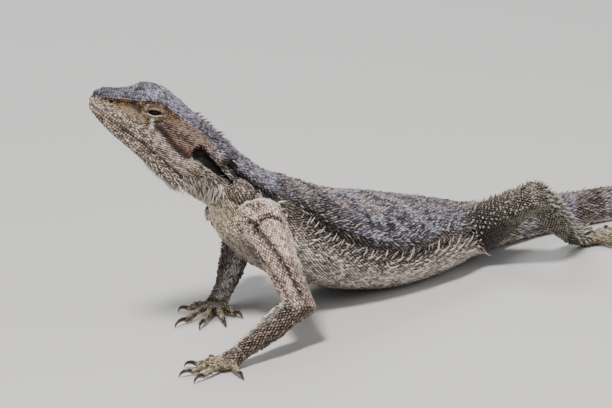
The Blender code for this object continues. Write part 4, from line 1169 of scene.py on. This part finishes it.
def staggered(surface, start, end, spacing, seed, loose=1.0):
    """Places and turns in staggered rings round a form, about spacing apart."""
    fine = np.linspace(start, end, 600)
    middle = np.mean([surface(fine, np.full(600, turn))[0] for turn in (0.0, 0.25, 0.5, 0.75)], axis=0)
    run = np.concatenate([[0], np.cumsum(np.linalg.norm(np.diff(middle, axis=0), axis=1))])
    count = max(2, int(run[-1] / (spacing * 0.82)))
    rows = np.interp((np.arange(count) + 0.5) / count * run[-1], run, fine)
    jitter = np.random.default_rng(seed)
    around = np.arange(97) / 96
    all_s, all_turn = [], []
    for i, s in enumerate(rows):
        ring = surface(np.full(97, s), around)[0]
        length = np.concatenate([[0], np.cumsum(np.linalg.norm(np.diff(ring, axis=0), axis=1))])
        number = max(6, 4 * int(round(length[-1] / spacing / 4)))
        share = (np.arange(number) + 0.5 * (i % 2)) / number + loose * jitter.normal(0, 0.07 / number, number)
        all_turn.append(np.interp((share % 1.0) * length[-1], length, around))
        all_s.append(np.full(number, s) + loose * jitter.normal(0, 0.06, number) * (end - start) / count)
    return np.clip(np.concatenate(all_s), start, end), np.concatenate(all_turn)


def settled(points, outward):
    """Where points of a form come down on the skin, its normal there, and which of them do."""
    place, normal, good = np.zeros_like(points), np.zeros_like(points), np.zeros(len(points), dtype=bool)
    for i, (point, way) in enumerate(zip(points, outward)):
        spot, facing, face, far = skin_tree.ray_cast(point + way * OUTSIDE, -way, OUTSIDE + MOST_SUNK)
        if spot is None or far < OUTSIDE - MOST_RAISED or facing @ Vector(way) < 0.05:
            continue
        place[i] = spot
        normal[i] = skin_normals[list(skin_faces[face])].mean(axis=0)
        good[i] = True
    return place, unit(normal), good


def not_crowded(places, room):
    """Which places keep that much room to all the scales laid so far."""
    low, high = places.min(axis=0) - room, places.max(axis=0) + room
    near = [batch["places"] for batches in coat.values() for batch in batches if not batch["spines"]]
    near = np.concatenate(near) if near else np.zeros((0, 3))
    near = near[((near > low) & (near < high)).all(axis=1)]
    if not len(near):
        return np.ones(len(places), dtype=bool)
    return distance_to(near, places) > room


def off_crease(places):
    """Which places keep off the smooth crease in front of each arm."""
    return np.minimum(*(from_line(places, line)[0] for line in hide_lines[CREASE:CREASE + 2])) > CREASE_ROOM


def lay(piece, shape, sizes, places, normals, runs, tones, tips, chart, spines=False):
    """Keeps a batch of like scales or spines for a coat piece: shapes at places on the skin."""
    coat.setdefault(piece, []).append(dict(
        shape=shape, sizes=sizes, places=places, normals=normals, runs=runs, tones=tones, tips=tips,
        chart=chart, spines=spines))


def chart_places(chart, start, end, s, turn):
    """Each root's place on the flat chart of the form's own surface."""
    low_u, low_v, wide, high = chart
    return np.stack([low_u + wide * (s - start) / (end - start), low_v + high * (turn % 1.0)], axis=1)


def grown_on(form, start, end, spacing, keep, seed, loose=1.0):
    """Staggered places on the skin over part of a form: place, turn, spot, normal, run, tone and tips."""
    name, surface = form[0], form[1]
    s, turn = staggered(surface, start, end, spacing, seed, loose)
    points, runs = surface(s, turn, -SKIN_DEPTH)
    if keep is not None:
        kept = keep(points, s, turn)
        s, turn, points, runs = s[kept], turn[kept], points[kept], runs[kept]
    outward = unit(surface(s, turn, 1.0)[0] - points)
    places, normals, good = settled(points, outward)
    if good.any() and spacing < CLOSE_ROWS:
        good[good] = not_crowded(places[good], CLEAR * spacing)
    good[good] &= off_crease(places[good])
    s, turn, points, places, normals, runs = (v[good] for v in (s, turn, points, places, normals, runs))
    tones, tips = tone_of(name, points, s, turn)
    return s, turn, places, normals, runs, shoulder_tone(places, tones), tips


def lay_rows(piece, form, start, end, spacing, shape, stretch, keep=None, seed=0, rough=0.12,
             chart=WHOLE_CHART, contrast=0.2, dark=0.16, loose=1.0):
    """Lays staggered rows of scales over part of a form."""
    s, turn, places, normals, runs, tones, tips = grown_on(form, start, end, spacing, keep, seed, loose)
    jitter = np.random.default_rng(seed + 500)
    sizes = spacing * np.array(stretch) * (1 + jitter.normal(0, rough, (len(s), 1)))
    sizes[:, 2] *= 1 + jitter.normal(0, 0.2, len(s))
    side = np.cross(normals, runs)
    runs = runs + side * loose * jitter.normal(0, 0.08, (len(s), 1))
    light = 1.04 + jitter.normal(0, contrast, (len(s), 1))
    light[jitter.random(len(s)) < dark] *= 0.4
    tones = np.clip(tones * np.clip(light, 0.2, 1.7), DARKEST, PALEST)
    lay(piece, shape, sizes, places, normals, runs, tones, tips, chart_places(chart, start, end, s, turn))


def stand_spines(piece, form, start, end, spacing, size, keep, seed, rise=0.0, wild=0.25, colour=None,
                 colour_share=0.8, tips=0.8, chart=WHOLE_CHART):
    """Stands thorns on part of a form: size is lean, thickness and height in mm, rise turns them upward."""
    s, turn, places, normals, runs, tones, _ = grown_on(form, start, end, spacing, keep, seed, 1.6)
    jitter = np.random.default_rng(seed + 900)
    sizes = np.array(size) * (1 + jitter.normal(0, 0.22, (len(s), 1)))
    upward = np.cross(normals, runs) * np.where(turn % 1.0 < 0.5, 1.0, -1.0)[:, None]
    runs = runs + upward * (rise + jitter.normal(0, wild, (len(s), 1)))
    if colour is not None:
        tones = tones + (colour * (1 + jitter.normal(0, 0.14, (len(s), 1))) - tones) * colour_share
    lay(piece, SPINE, sizes, places, normals, unit(runs), np.clip(tones, DARKEST, 1), np.full(len(s), tips),
        chart_places(chart, start, end, s, turn), True)


def near_face_openings(points):
    """True where scales keep off: inside the lids, nostrils, ears, and the deep folds."""
    t, h, w = head_measures(points)
    aside = np.abs(w) > 2.5
    a, b = eye_measures(t, h)
    lids = np.hypot(a / LID_ROOM[0], b / LID_ROOM[1]) < 1
    nostril = np.hypot(t - NOSTRIL[0], h - NOSTRIL[1]) < 1.1
    flat = np.stack([t, h], axis=1)
    cleft, _ = slit_reach_at(flat)
    mouth, _ = from_line(flat, MOUTH)
    return (aside & (lids | nostril | ((cleft < 0.96) & (t < CLEFT_END)))) | ((mouth < 0.5) & (t < 36))


def cap_place(points):
    t, h, _ = head_measures(points)
    return (h > reach_of(t, CAP_EDGE) - 0.4) & (h > 2)


body = forms[0]
HEAD_END = 9.7
LORE_LOW, LORE_END = 3.6, 31   # the fine grains in front of the eye lie over this height, to this far back
LIP_ROOM = 2.3            # the rows of lip scales take this much over and under the mouth
JAW_UNDER = -7.5          # the jaw's scales lie under this height
SHOULDER = NAPE + 3.2
HIPS = VENT + 0.3
TAIL_NARROW = NAPE + 12.5


def head_zone(points):
    """The kind of scales that each place of the head bears."""
    t, h, _ = head_measures(points)
    mouth, _ = from_line(np.stack([t, h], axis=1), MOUTH)
    lips = (mouth < LIP_ROOM) & (t < 34) & (t > 1.5)
    return np.select([near_face_openings(points), cap_place(points), lips, h <= JAW_UNDER, t >= LORE_END,
                      h >= LORE_LOW], ["none", "cap", "lips", "jaw", "cheek", "lore"], "muzzle")


def in_zone(name):
    return lambda p, s, turn: head_zone(p) == name


def round_side(low, high):
    """Keeps places by how far they lie round the side, from 0 on the back to 6 under the belly."""
    return lambda p, s, turn: (folded(turn) >= low) & (folded(turn) < high)


def head_spots(line, spacing):
    """Places on the skin of the head's sides along a line, its normal and the line's direction there."""
    knots = np.array(line, float)
    fine = smooth_along(knots, np.linspace(0, len(knots) - 1, 40 * len(knots)))
    length = np.concatenate([[0], np.cumsum(np.linalg.norm(np.diff(fine, axis=0), axis=1))])
    steps = np.arange(spacing / 2, length[-1], spacing)
    flat, before, after = (np.stack([np.interp(steps + far, length, fine[:, k]) for k in range(2)], axis=1)
                           for far in (0.0, -0.3, 0.3))
    rows = []
    for side in (1, -1):
        for (t, h), (run_t, run_h) in zip(flat, unit(after - before)):
            spot, _, face, _ = skin_tree.ray_cast(head_place(t, h, 40.0 * side), -HEAD_LEFT * side, 45.0)
            if spot is not None:
                normal = skin_normals[list(skin_faces[face])].mean(axis=0)
                rows.append((*spot, *normal, *(HEAD_BACK * run_t + HEAD_UP * run_h), t, h, side))
    rows = np.array(rows)
    return rows[:, :3], unit(rows[:, 3:6]), rows[:, 6:9], rows[:, 9:]


def lay_along_head(piece, line, spacing, shape, size, seed, contrast=0.15, tips=0.15, pale=1.0, row=0.0):
    """Lays one row of scales along a line of the head's sides."""
    places, normals, runs, flat = head_spots(line, spacing)
    jitter = np.random.default_rng(seed)
    sizes = np.array(size) * (1 + jitter.normal(0, 0.08, (len(places), 1)))
    tones, _ = head_tone(places)
    light = pale * (1 + jitter.normal(0, contrast, (len(places), 1)))
    light[jitter.random(len(places)) < 0.1] *= 0.5
    upward = 0.5 + flat[:, 2] * (0.24 + flat[:, 1] / 120.0 + 0.002 * row)
    chart = np.stack([flat[:, 0] / 90.0, upward], axis=1)
    tones = np.clip(tones * light, DARKEST, 1)
    lay(piece, shape, sizes, places, normals, runs, tones, np.full(len(places), tips), chart)


def shifted(line, offset):
    """A line of the head's side moved up or down by an offset."""
    return [(t, h + offset) for t, h in line if t > 0.5]


def lid_line(size, start, end):
    """Part of an ellipse round the eye's opening, in the head's measures; angles in degrees."""
    line = []
    for angle in np.radians(np.linspace(start, end, LID_POINTS)):
        a, b = size[0] * math.cos(angle), size[1] * math.sin(angle)
        line.append((EYE[0] + a * math.cos(EYE_TILT) - b * math.sin(EYE_TILT),
                     EYE[1] + a * math.sin(EYE_TILT) + b * math.cos(EYE_TILT)))
    return line


LIP_ROWS = ((0.75, (1.5, 1.1, 2.0)), (1.75, (1.25, 1.05, 1.8)))     # offset from the mouth, size of a scale
LID_ROWS = ((3.2, 1.45), (3.75, 1.95), (4.3, 2.5), (4.9, 3.1), (5.5, 3.7))
LID_POINTS = 14

for k, (upward, (offset, size)) in enumerate((way, row) for way in (1, -1) for row in LIP_ROWS):
    lay_along_head("lip_scales", shifted(MOUTH, upward * offset), size[0] * 0.93, GRANULE, size, 60 + k, 0.25,
                   row=k)
for k, size in enumerate(LID_ROWS):
    grain = 0.62 + 0.07 * k
    for seed, start, pale in ((70, 2, 1.0), (80, 182, 1.4 if k == 0 else 1.0)):
        lay_along_head("lid_scales", lid_line(size, start, start + 176), grain, GRANULE,
                       (1.12 * grain, 0.66, 1.0), seed + k, 0.35, pale=pale, row=k)
brow_line = [(t, h - 0.1) for t, h in CAP_EDGE if 2 < t < 45]
lay_along_head("brow_scales", brow_line, 1.25, KEELED, (1.7, 1.15, 1.5), 90, 0.15, tips=0.25)
lay_along_head("brow_scales", shifted(brow_line, -1.0), 1.1, KEELED, (1.45, 0.95, 1.0), 91, 0.3, tips=0.1,
               pale=0.85)

lay_rows("cap_scales", body, 0.0, HEAD_END, 1.15, KEELED, (1.2, 1.0, 1.1), in_zone("cap"), 1, contrast=0.25)
lay_rows("face_scales", body, 0.0, HEAD_END, 1.22, GRANULE, (1.12, 1.0, 1.3), in_zone("muzzle"), 2, 0.2,
         contrast=0.26, dark=0.18, loose=1.8)
lay_rows("lore_scales", body, 0.0, HEAD_END, 0.95, GRANULE, (1.15, 1.0, 1.0), in_zone("lore"), 14, 0.12,
         contrast=0.14, dark=0.06, loose=1.4)
lay_rows("face_scales", body, 0.0, HEAD_END, 0.98, KEELED, (1.2, 1.0, 0.9), in_zone("cheek"), 12,
         loose=0.7, chart=INNER_CHART)
lay_rows("jaw_scales", body, 0.6, HEAD_END, 1.05, KEELED, (1.3, 0.95, 1.1), in_zone("jaw"), 3,
         contrast=0.25, loose=0.7)
lay_rows("neck_back_scales", body, HEAD_END, SHOULDER, 1.25, KEELED, (1.25, 1.0, 1.2),
         lambda p, s, turn: (folded(turn) < 3.0) & ~near_face_openings(p), 4, 0.2, contrast=0.3, dark=0.25)
lay_rows("neck_front_scales", body, HEAD_END, SHOULDER, 1.15, KEELED, (1.3, 0.95, 1.15),
         lambda p, s, turn: (folded(turn) >= 3.0) & ~near_face_openings(p), 5, 0.15, contrast=0.28, loose=0.7)
lay_rows("back_scales", body, SHOULDER, HIPS, 1.3, KEELED, (1.15, 1.0, 1.2), round_side(0, 2.3), 6, 0.25,
         contrast=0.32, dark=0.3)
lay_rows("flank_scales", body, SHOULDER, HIPS, 1.3, KEELED, (1.3, 0.95, 1.2),
         lambda p, s, turn: (folded(turn) >= 2.3) & (under_edge(s, turn) < 1.4), 7, 0.2, contrast=0.3,
         dark=0.25)
lay_rows("belly_scales", body, SHOULDER, HIPS, 1.3, KEELED, (1.35, 0.95, 0.95),
         lambda p, s, turn: (folded(turn) >= 2.3) & (under_edge(s, turn) >= 1.4), 8, 0.1, contrast=0.42,
         dark=0.24, loose=0.4)
lay_rows("tail_root_scales", body, HIPS, TAIL_NARROW, 1.45, KEELED, (1.35, 1.0, 1.3), None, 9, 0.18,
         contrast=0.28)
lay_rows("tail_scales", body, TAIL_NARROW, TAIL_TIP, 1.2, KEELED, (1.5, 0.96, 1.1), None, 10, contrast=0.28)

# On each length of limb: start, end, spacing, size, roughness, contrast, share of dark scales, looseness
LIMB_COATS = {
    "upper": (0.2, 3.95, 1.3, (1.3, 0.98, 1.2), 0.12, 0.25, 0.16, 0.6),
    "lower": (0.05, 3.9, 1.4, (1.3, 0.98, 1.5), 0.15, 0.32, 0.2, 0.6),
    "palm": (0.0, 3.0, 1.15, (1.25, 1.0, 1.1), 0.12, 0.3, 0.16, 1.0),
    "toe": (0.0, 2.95, 1.15, (1.25, 1.05, 1.25), 0.12, 0.3, 0.16, 1.0),
}


def own_chart(number):
    """Each limb form's own part of the chart."""
    return 0.02 + 0.25 * (number % 4), 0.02 + 0.12 * (number // 4), 0.22, 0.1


for number, form in enumerate(forms[1:]):
    limb_name, part = form[0].rsplit("_", 1)
    start, end, spacing, size, rough, contrast, dark, loose = LIMB_COATS[part]
    coat_name = f"{limb_name[:3]}_foot_scales" if part in ("palm", "toe") else f"{limb_name}_scales"
    lay_rows(coat_name, form, start, end, spacing, KEELED, size, None, 20 + number, rough, own_chart(number),
             contrast, dark, loose)

# The spines: pointed thorns of the same horn, most of them pale, dark on the nape. They stand behind the
# jaw as the beard, on the nape, at the shoulder, along the edge of the back and on the flank below it, on
# the limbs and on the root of the tail, with smaller ones scattered over the back.


def clear_of_cleft(points):
    t, h, _ = head_measures(points)
    return slit_reach_at(np.stack([t, h], axis=1))[0] > 2.4


stand_spines("beard_spines", body, 6.4, NAPE + 0.8, 2.0, (2.2, 0.75, 1.3), round_side(3.9, 5.8), 101, -0.4,
             0.2, PEARL, 0.75)
stand_spines("beard_spines", body, 8.8, NAPE + 1.4, 2.0, (4.2, 0.95, 1.8),
             lambda p, s, turn: (folded(turn) > 3.6) & (folded(turn) < 4.9) & clear_of_cleft(p), 102,
             -1.3, 0.25, PEARL, 0.8, tips=0.7, chart=INNER_CHART)
stand_spines("nape_spines", body, 7.9, NAPE + 0.3, 2.3, (2.3, 1.25, 2.2),
             lambda p, s, turn: (folded(turn) > 0.2) & (folded(turn) < 1.9) & cap_place(p), 103, 0.2, 0.3,
             SOOT, 0.7, 0.3)
stand_spines("nape_spines", body, NAPE + 0.3, SHOULDER, 2.8, (1.2, 1.1, 1.2), round_side(0, 1.9), 104, 0.1,
             0.3, SOOT, 0.3, 0.6, INNER_CHART)
stand_spines("back_spines", body, NAPE + 3.0, HIPS, 3.6, (1.2, 1.3, 1.1),
             lambda p, s, turn: under_edge(s, turn) < -0.1, 105, 0.0, 0.4)
stand_spines("edge_spines", body, SHOULDER, VENT + 0.2, 2.5, (1.7, 1.1, 1.5),
             lambda p, s, turn: np.abs(under_edge(s, turn) + 0.1) < 0.25, 106, 0.3, 0.4, SLATE, 0.5, 0.9)
stand_spines("flank_spines", body, NAPE + 3.5, VENT, 2.8, (2.8, 0.8, 3.1),
             lambda p, s, turn: (under_edge(s, turn) > 0.45) & (under_edge(s, turn) < 1.35), 107, 5.0, 2.5,
             PEARL, 0.8, 0.75)
stand_spines("shoulder_spines", body, 12.1, 13.4, 2.0, (3.2, 0.95, 2.4),
             lambda p, s, turn: np.hypot((s - 12.85) * 3.4, folded(turn) - 3.1) < 0.55, 108, 0.4, 0.5,
             PEARL, 1.0, 1.0)
stand_spines("shoulder_spines", body, 10.4, 12.4, 3.2, (1.8, 0.8, 1.4),
             lambda p, s, turn: (folded(turn) > 2.0) & (folded(turn) < 4.0) & (distance_to(bulbs, p) > 6.5),
             109, 0.1, 0.5, PEARL, 0.6, 0.8, INNER_CHART)
stand_spines("tail_spines", body, VENT, NAPE + 15.5, 3.2, (2.2, 1.1, 1.6), round_side(0, 4.0), 110, 0.1,
             0.2, tips=0.7)

# On legs and arms: start, end, spacing, size, how far under they reach, wildness, share of pale horn
LIMB_THORNS = {
    "leg": (0.3, 3.9, 2.5, (2.2, 1.6, 2.2), -0.35, 0.35, 0.3),
    "arm": (0.9, 3.6, 3.4, (1.7, 1.0, 1.1), -0.3, 0.3, 0.4),
}
for number, form in enumerate(forms[1:]):
    limb_name, part = form[0].rsplit("_", 1)
    if part in ("upper", "lower"):
        start, end, spacing, size, lowest, wild, pearly = LIMB_THORNS[limb_name[:3]]
        stand_spines(f"{limb_name}_spines", form, start, end, spacing, size,
                     lambda p, s, turn: np.sin(2 * math.pi * turn) > lowest, 130 + number, 0.0, wild, PEARL,
                     pearly, 0.9, own_chart(number))

# The filling: small scales of the same horn on the spots that the rows leave bare, at the joints and in the
# folds. Each takes its shape and colour from the scales beside it.
BARE = 0.92               # a spot this far from any scale's root is bare, in mm
FAR_OFF = 9.0             # and nothing is filled past this
FILL_SIZE = 1.25
FILL_SEED = 77
scales = [(piece, batch) for piece, batches in coat.items() for batch in batches if not batch["spines"]]
owner = np.concatenate([np.full(len(batch["places"]), k) for k, (_, batch) in enumerate(scales)])
root_places, root_tones, root_runs, root_tips, root_charts = (
    np.concatenate([batch[key] for _, batch in scales])
    for key in ("places", "tones", "runs", "tips", "chart"))
root_tree = tree_of(root_places)
points = points_of(skin_mesh)
found = [root_tree.find(point)[1:] for point in points]
nearest_root, root_gap = np.array([i for i, _ in found]), np.array([gap for _, gap in found])
t, h, w = head_measures(points)
side_on = (np.abs(w) > 3) & (points[:, 2] > HEAD_OVER) & (t < LINES_END)
openings = near_face_openings(points) & side_on
off_floor = points[:, 2] > 1.0
bare = np.flatnonzero((root_gap > BARE) & (root_gap < FAR_OFF) & off_floor & ~openings & off_crease(points))
jitter = np.random.default_rng(FILL_SEED)
taken, chosen = {}, []
for i in jitter.permutation(bare):
    cell = tuple((points[i] // BARE).astype(int))
    around = [spot for step_by in np.ndindex(3, 3, 3)
              for spot in taken.get(tuple(np.array(cell) + step_by - 1), [])]
    if all(np.linalg.norm(points[i] - spot) > BARE for spot in around):
        taken.setdefault(cell, []).append(points[i])
        chosen.append(i)
chosen = np.array(chosen)
fill_points, fill_roots = points[chosen], nearest_root[chosen]
beside = np.array([[i for _, i, _ in root_tree.find_n(point, 6)] for point in fill_points])
fill_tones = shoulder_tone(fill_points, root_tones[beside].mean(axis=1))
fill_tones = fill_tones * np.clip(1 + jitter.normal(0, 0.25, (len(chosen), 1)), 0.3, 1.6)
fill_runs = unit(root_runs[beside].mean(axis=1) + 1e-6)
fill_charts = root_charts[fill_roots] + 0.004 * (fill_points - root_places[fill_roots])[:, :2]
for k, (piece, batch) in enumerate(scales):
    mine = owner[fill_roots] == k
    if mine.any():
        sizes = FILL_SIZE * np.array((1.25, 1.0, 1.1)) * (1 + jitter.normal(0, 0.12, (int(mine.sum()), 1)))
        lay(piece, batch["shape"], sizes, fill_points[mine], skin_normals[chosen][mine], fill_runs[mine],
            np.clip(fill_tones[mine], DARKEST, PALEST), root_tips[fill_roots][mine], fill_charts[mine])

# The skin's colours: between its scales it has the tone of the nearest one, and inside the lids, nostrils,
# ears and folds the marks of the head and shoulder themselves. Its low shade value gives it the dark gap
# colour, partly darker skin and partly painted shade, and its deep places get painted shade.


def mark(mesh, name, values):
    mesh.attributes.new(name, "FLOAT", "POINT").data.foreach_set("value", np.asarray(values, float))


def tint(mesh, tones, shades, tips):
    """Gives a mesh the colours and the shade that the hide's finish reads."""
    colours = mesh.color_attributes.new(name="tone", type="FLOAT_COLOR", domain="POINT")
    opaque = np.concatenate([np.clip(tones, 0, 1), np.ones((len(tones), 1))], axis=1)
    colours.data.foreach_set("color", opaque.ravel())
    mark(mesh, "shade", shades)
    mark(mesh, "tips", tips)


tones = root_tones[nearest_root]
tones[chosen] = fill_tones
head_colour, _ = head_tone(points)
tones[openings] = head_colour[openings]
a, b = eye_measures(t, h)
# painted shade: the nostrils and the lids' inner rims are darkened by nine tenths
nostril = bell(np.hypot(t - NOSTRIL[0], h - NOSTRIL[1]) / 0.8) * (np.abs(w) > 2.5)
rim = step(1.18, 1.0, np.hypot(a / LID_RIM[0], b / LID_RIM[1])) * side_on
tones = shoulder_tone(points, tones * (1 - 0.9 * np.maximum(nostril, rim))[:, None])
# painted shade: the skin takes the dark gap colour between the scales, partly darker skin
shades = np.full(len(points), 0.2)
for crease_line in hide_lines[CREASE:CREASE + 2]:
    near = np.flatnonzero(np.linalg.norm(points - crease_line.mean(axis=0), axis=1) < 16)
    shades[near] = np.maximum(shades[near], 0.6 * bell(from_line(points[near], crease_line)[0]))
shades[openings] = 0.5
# painted shade deep in the ear's cleft, less of it at the drum
in_cleft, _ = slit_reach_at(np.stack([t, h], axis=1))
deep = side_on & (in_cleft < 1.1)
shades[deep] = (0.12 + 0.4 * bell(np.hypot(t - EARDRUM[0], h - EARDRUM[1]) / 1.5))[deep]
tint(skin_mesh, tones, shades, np.zeros(len(points)))
skin_mesh.materials.clear()
skin_mesh.materials.append(hide_finish)

# The eyes: dark brown balls with a wet clear front and a thin paler ring, set deep between the lids. Only the
# slit that the lids leave shows them.
EYE_DARK = (0.010, 0.007, 0.006, 1)
EYE_RIM = (0.20, 0.12, 0.05, 1)
eye_finish, shader, start = new_finish("eye", Roughness=0.07, IOR=1.25)
ring = start.attribute("iris")
fibres = start.noise(Scale=900.0, Detail=3.0)
iris = ring.between(0.50, 0.56) * (1 - ring.between(0.86, 0.95)) * fibres
iris.mixed(EYE_DARK, EYE_RIM).into(shader, "Base Color")
for name, side in (("eye_left", 1), ("eye_right", -1)):
    centre, axes = head_place(*EYE, EYE_OUT * side), (HEAD_BACK, HEAD_UP, HEAD_LEFT * side)
    ball = show(mesh_of(f"{name}_ball", *ellipsoid(centre, axes, [EYE_RADIUS] * 3, 40, 48)), f"{name}_ball")
    away = points_of(ball.data) - centre
    mark(ball.data, "iris", np.linalg.norm(away - HEAD_LEFT * side * EYE_RADIUS, axis=1) / EYE_RADIUS)
    shade_smooth(ball.data)
    ball.data.materials.append(eye_finish)
    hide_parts(name)
    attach(ball, "root")

# The claws: hard dark horn, curved, browner underneath. One is rooted in the end of each toe and meets the
# floor with its tip.
CLAW_RADII = (1.05, 0.95, 0.6, 0.12)
CLAW_DARK = (0.010, 0.007, 0.006, 1)
CLAW_BROWN = (0.035, 0.020, 0.012, 1)
CLAW_UNDER = (0.20, 0.10, 0.035, 1)
BOX_ROOM = 0.002          # claws and coat keep this far inside the solids' box, in mm
FLOOR_ROOM = 0.02


def within_solids(points):
    """Points in mm held to the box that the solids fill, just over the floor."""
    low, high = (np.array(corner) / MM for corner in solid_box)
    return np.clip(points, low + (BOX_ROOM, BOX_ROOM, FLOOR_ROOM), high - BOX_ROOM)


claw_forms = [closed_form(tube_surface(path, CLAW_RADII), 0, 3, 13, 10, 0.0) for path in claw_paths]
claws = show(mesh_of("claws", *joined(claw_forms)), "claws")
set_points(claws.data, within_solids(points_of(claws.data)))
mark(claws.data, "under", -normals_of(claws.data)[:, 2] + 0.35)
shade_smooth(claws.data)
claw_finish, shader, start = new_finish("claw horn", Roughness=0.3)
horn = start.noise(Scale=700.0, Detail=4.0).between(0.3, 0.75).mixed(CLAW_DARK, CLAW_BROWN)
start.attribute("under").between(0.2, 0.8).mixed(horn, CLAW_UNDER).into(shader, "Base Color")
claws.data.materials.append(claw_finish)
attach(claws, "root")

# The coat: every kind of scale and spine of one stretch of the body is one piece of solid horn, rooted in
# the skin, in the hide's own finish.
PATCH = 0.003             # size of each scale's patch on the chart


def coat_mesh(name, batches):
    """All the scales laid for one piece, as one mesh with its markings and its chart."""
    places, faces, tones, shades, tips, uvs = [], [], [], [], [], []
    count = 0
    for batch in batches:
        points, triangles = batch["shape"]
        sizes, normals = batch["sizes"], batch["normals"]
        across = unit(np.cross(normals, batch["runs"]))
        along = np.cross(across, normals)
        local = points[None, :, :3] * sizes[:, None, :]
        spots = (batch["places"][:, None] + local[..., :1] * along[:, None]
                 + local[..., 1:2] * across[:, None] + local[..., 2:3] * normals[:, None])
        number, corners = len(normals), len(points)
        places.append(spots.reshape(-1, 3))
        all_faces = np.array(triangles)[None] + (count + corners * np.arange(number))[:, None, None]
        faces.append(all_faces.reshape(-1, 3))
        tones.append(np.repeat(batch["tones"], corners, axis=0))
        shades.append(np.tile(points[:, 3], number))
        tips.append(np.repeat(batch["tips"], corners))
        patch = batch["chart"][:, None] + PATCH * (points[None, :, :2] / 1.4)
        uvs.append(patch.reshape(-1, 2))
        count += corners * number
    places, faces, uvs = within_solids(np.concatenate(places)), np.concatenate(faces), np.concatenate(uvs)
    mesh = bpy.data.meshes.new(name)
    mesh.vertices.add(len(places))
    mesh.vertices.foreach_set("co", (places * MM).ravel())
    mesh.loops.add(faces.size)
    mesh.loops.foreach_set("vertex_index", faces.ravel())
    mesh.polygons.add(len(faces))
    mesh.polygons.foreach_set("loop_start", np.arange(len(faces)) * 3)
    shade_smooth(mesh)
    mesh.update(calc_edges=True)
    tint(mesh, np.concatenate(tones), np.concatenate(shades), np.concatenate(tips))
    chart_layer = mesh.uv_layers.new(name="OFBake")
    chart_layer.uv.foreach_set("vector", uvs[faces.ravel()].ravel())
    return mesh


for name, batches in coat.items():
    piece = show(coat_mesh(name, batches), name)
    piece.data.materials.append(hide_finish)
    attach(piece, "root")

# The studio: a pale floor, a soft light from the front left above, a weaker broad one from the left and one
# from behind. The camera looks a little down on the left side and is rolled, to frame the standing animal.
bpy.ops.mesh.primitive_plane_add(size=6.0)
floor = bpy.context.object
floor.name = "floor"
floor_finish, _, _ = new_finish("pale floor", Base_Color=(0.62, 0.61, 0.59, 1), Roughness=0.9)
floor.data.materials.append(floor_finish)


def soft_light(name, place, aim, size, watts, colour):
    lamp = bpy.data.lights.new(name, "AREA")
    lamp.shape = "DISK"
    lamp.size = size
    lamp.energy = watts
    lamp.color = colour
    item = bpy.data.objects.new(name, lamp)
    item.location = place
    item.rotation_euler = (Vector(aim) - Vector(place)).to_track_quat("-Z", "Y").to_euler()
    bpy.context.scene.collection.objects.link(item)


soft_light("key", (-0.5, -0.4, 1.2), (0.0, 0.0, 0.04), 0.28, 22.0, (1.0, 0.97, 0.93))
soft_light("fill", (0.3, -1.1, 0.45), (0.0, 0.0, 0.04), 0.9, 4.5, (0.92, 0.95, 1.0))
soft_light("rim", (0.25, 0.95, 0.9), (0.0, 0.0, 0.05), 0.7, 8.0, (0.95, 0.97, 1.0))
world = bpy.data.worlds.new("studio")
world.use_nodes = True
world.node_tree.nodes["Background"].inputs["Color"].default_value = (0.80, 0.83, 0.88, 1)
world.node_tree.nodes["Background"].inputs["Strength"].default_value = 0.38
bpy.context.scene.world = world

LOOK = np.array((-45.0, 0.0, 0.0))
RIGHT = np.array((0.848, -0.530, 0.0))
UP = np.array((0.1372, 0.2195, 0.9659))
BACKWARD = np.array((-0.512, -0.819, 0.259))
ROLL = math.radians(9)
CENTRING = (-10.2, 41.6)  # the middle of the picture from LOOK, right and up, in mm
CAMERA_AWAY = 3420
camera_right = unit(RIGHT * math.cos(ROLL) - UP * math.sin(ROLL))
camera_back = unit(BACKWARD)
camera_up = np.cross(camera_back, camera_right)
middle = LOOK + camera_right * CENTRING[0] + camera_up * CENTRING[1]
camera_data = bpy.data.cameras.new("camera")
camera_data.lens = 450
camera_data.sensor_width = 36
camera_data.clip_end = 20
camera = bpy.data.objects.new("camera", camera_data)
spot = (middle + camera_back * CAMERA_AWAY) * MM
camera.matrix_world = Matrix([*zip(camera_right, camera_up, camera_back, spot), (0, 0, 0, 1)])
bpy.context.scene.collection.objects.link(camera)
bpy.context.scene.camera = camera
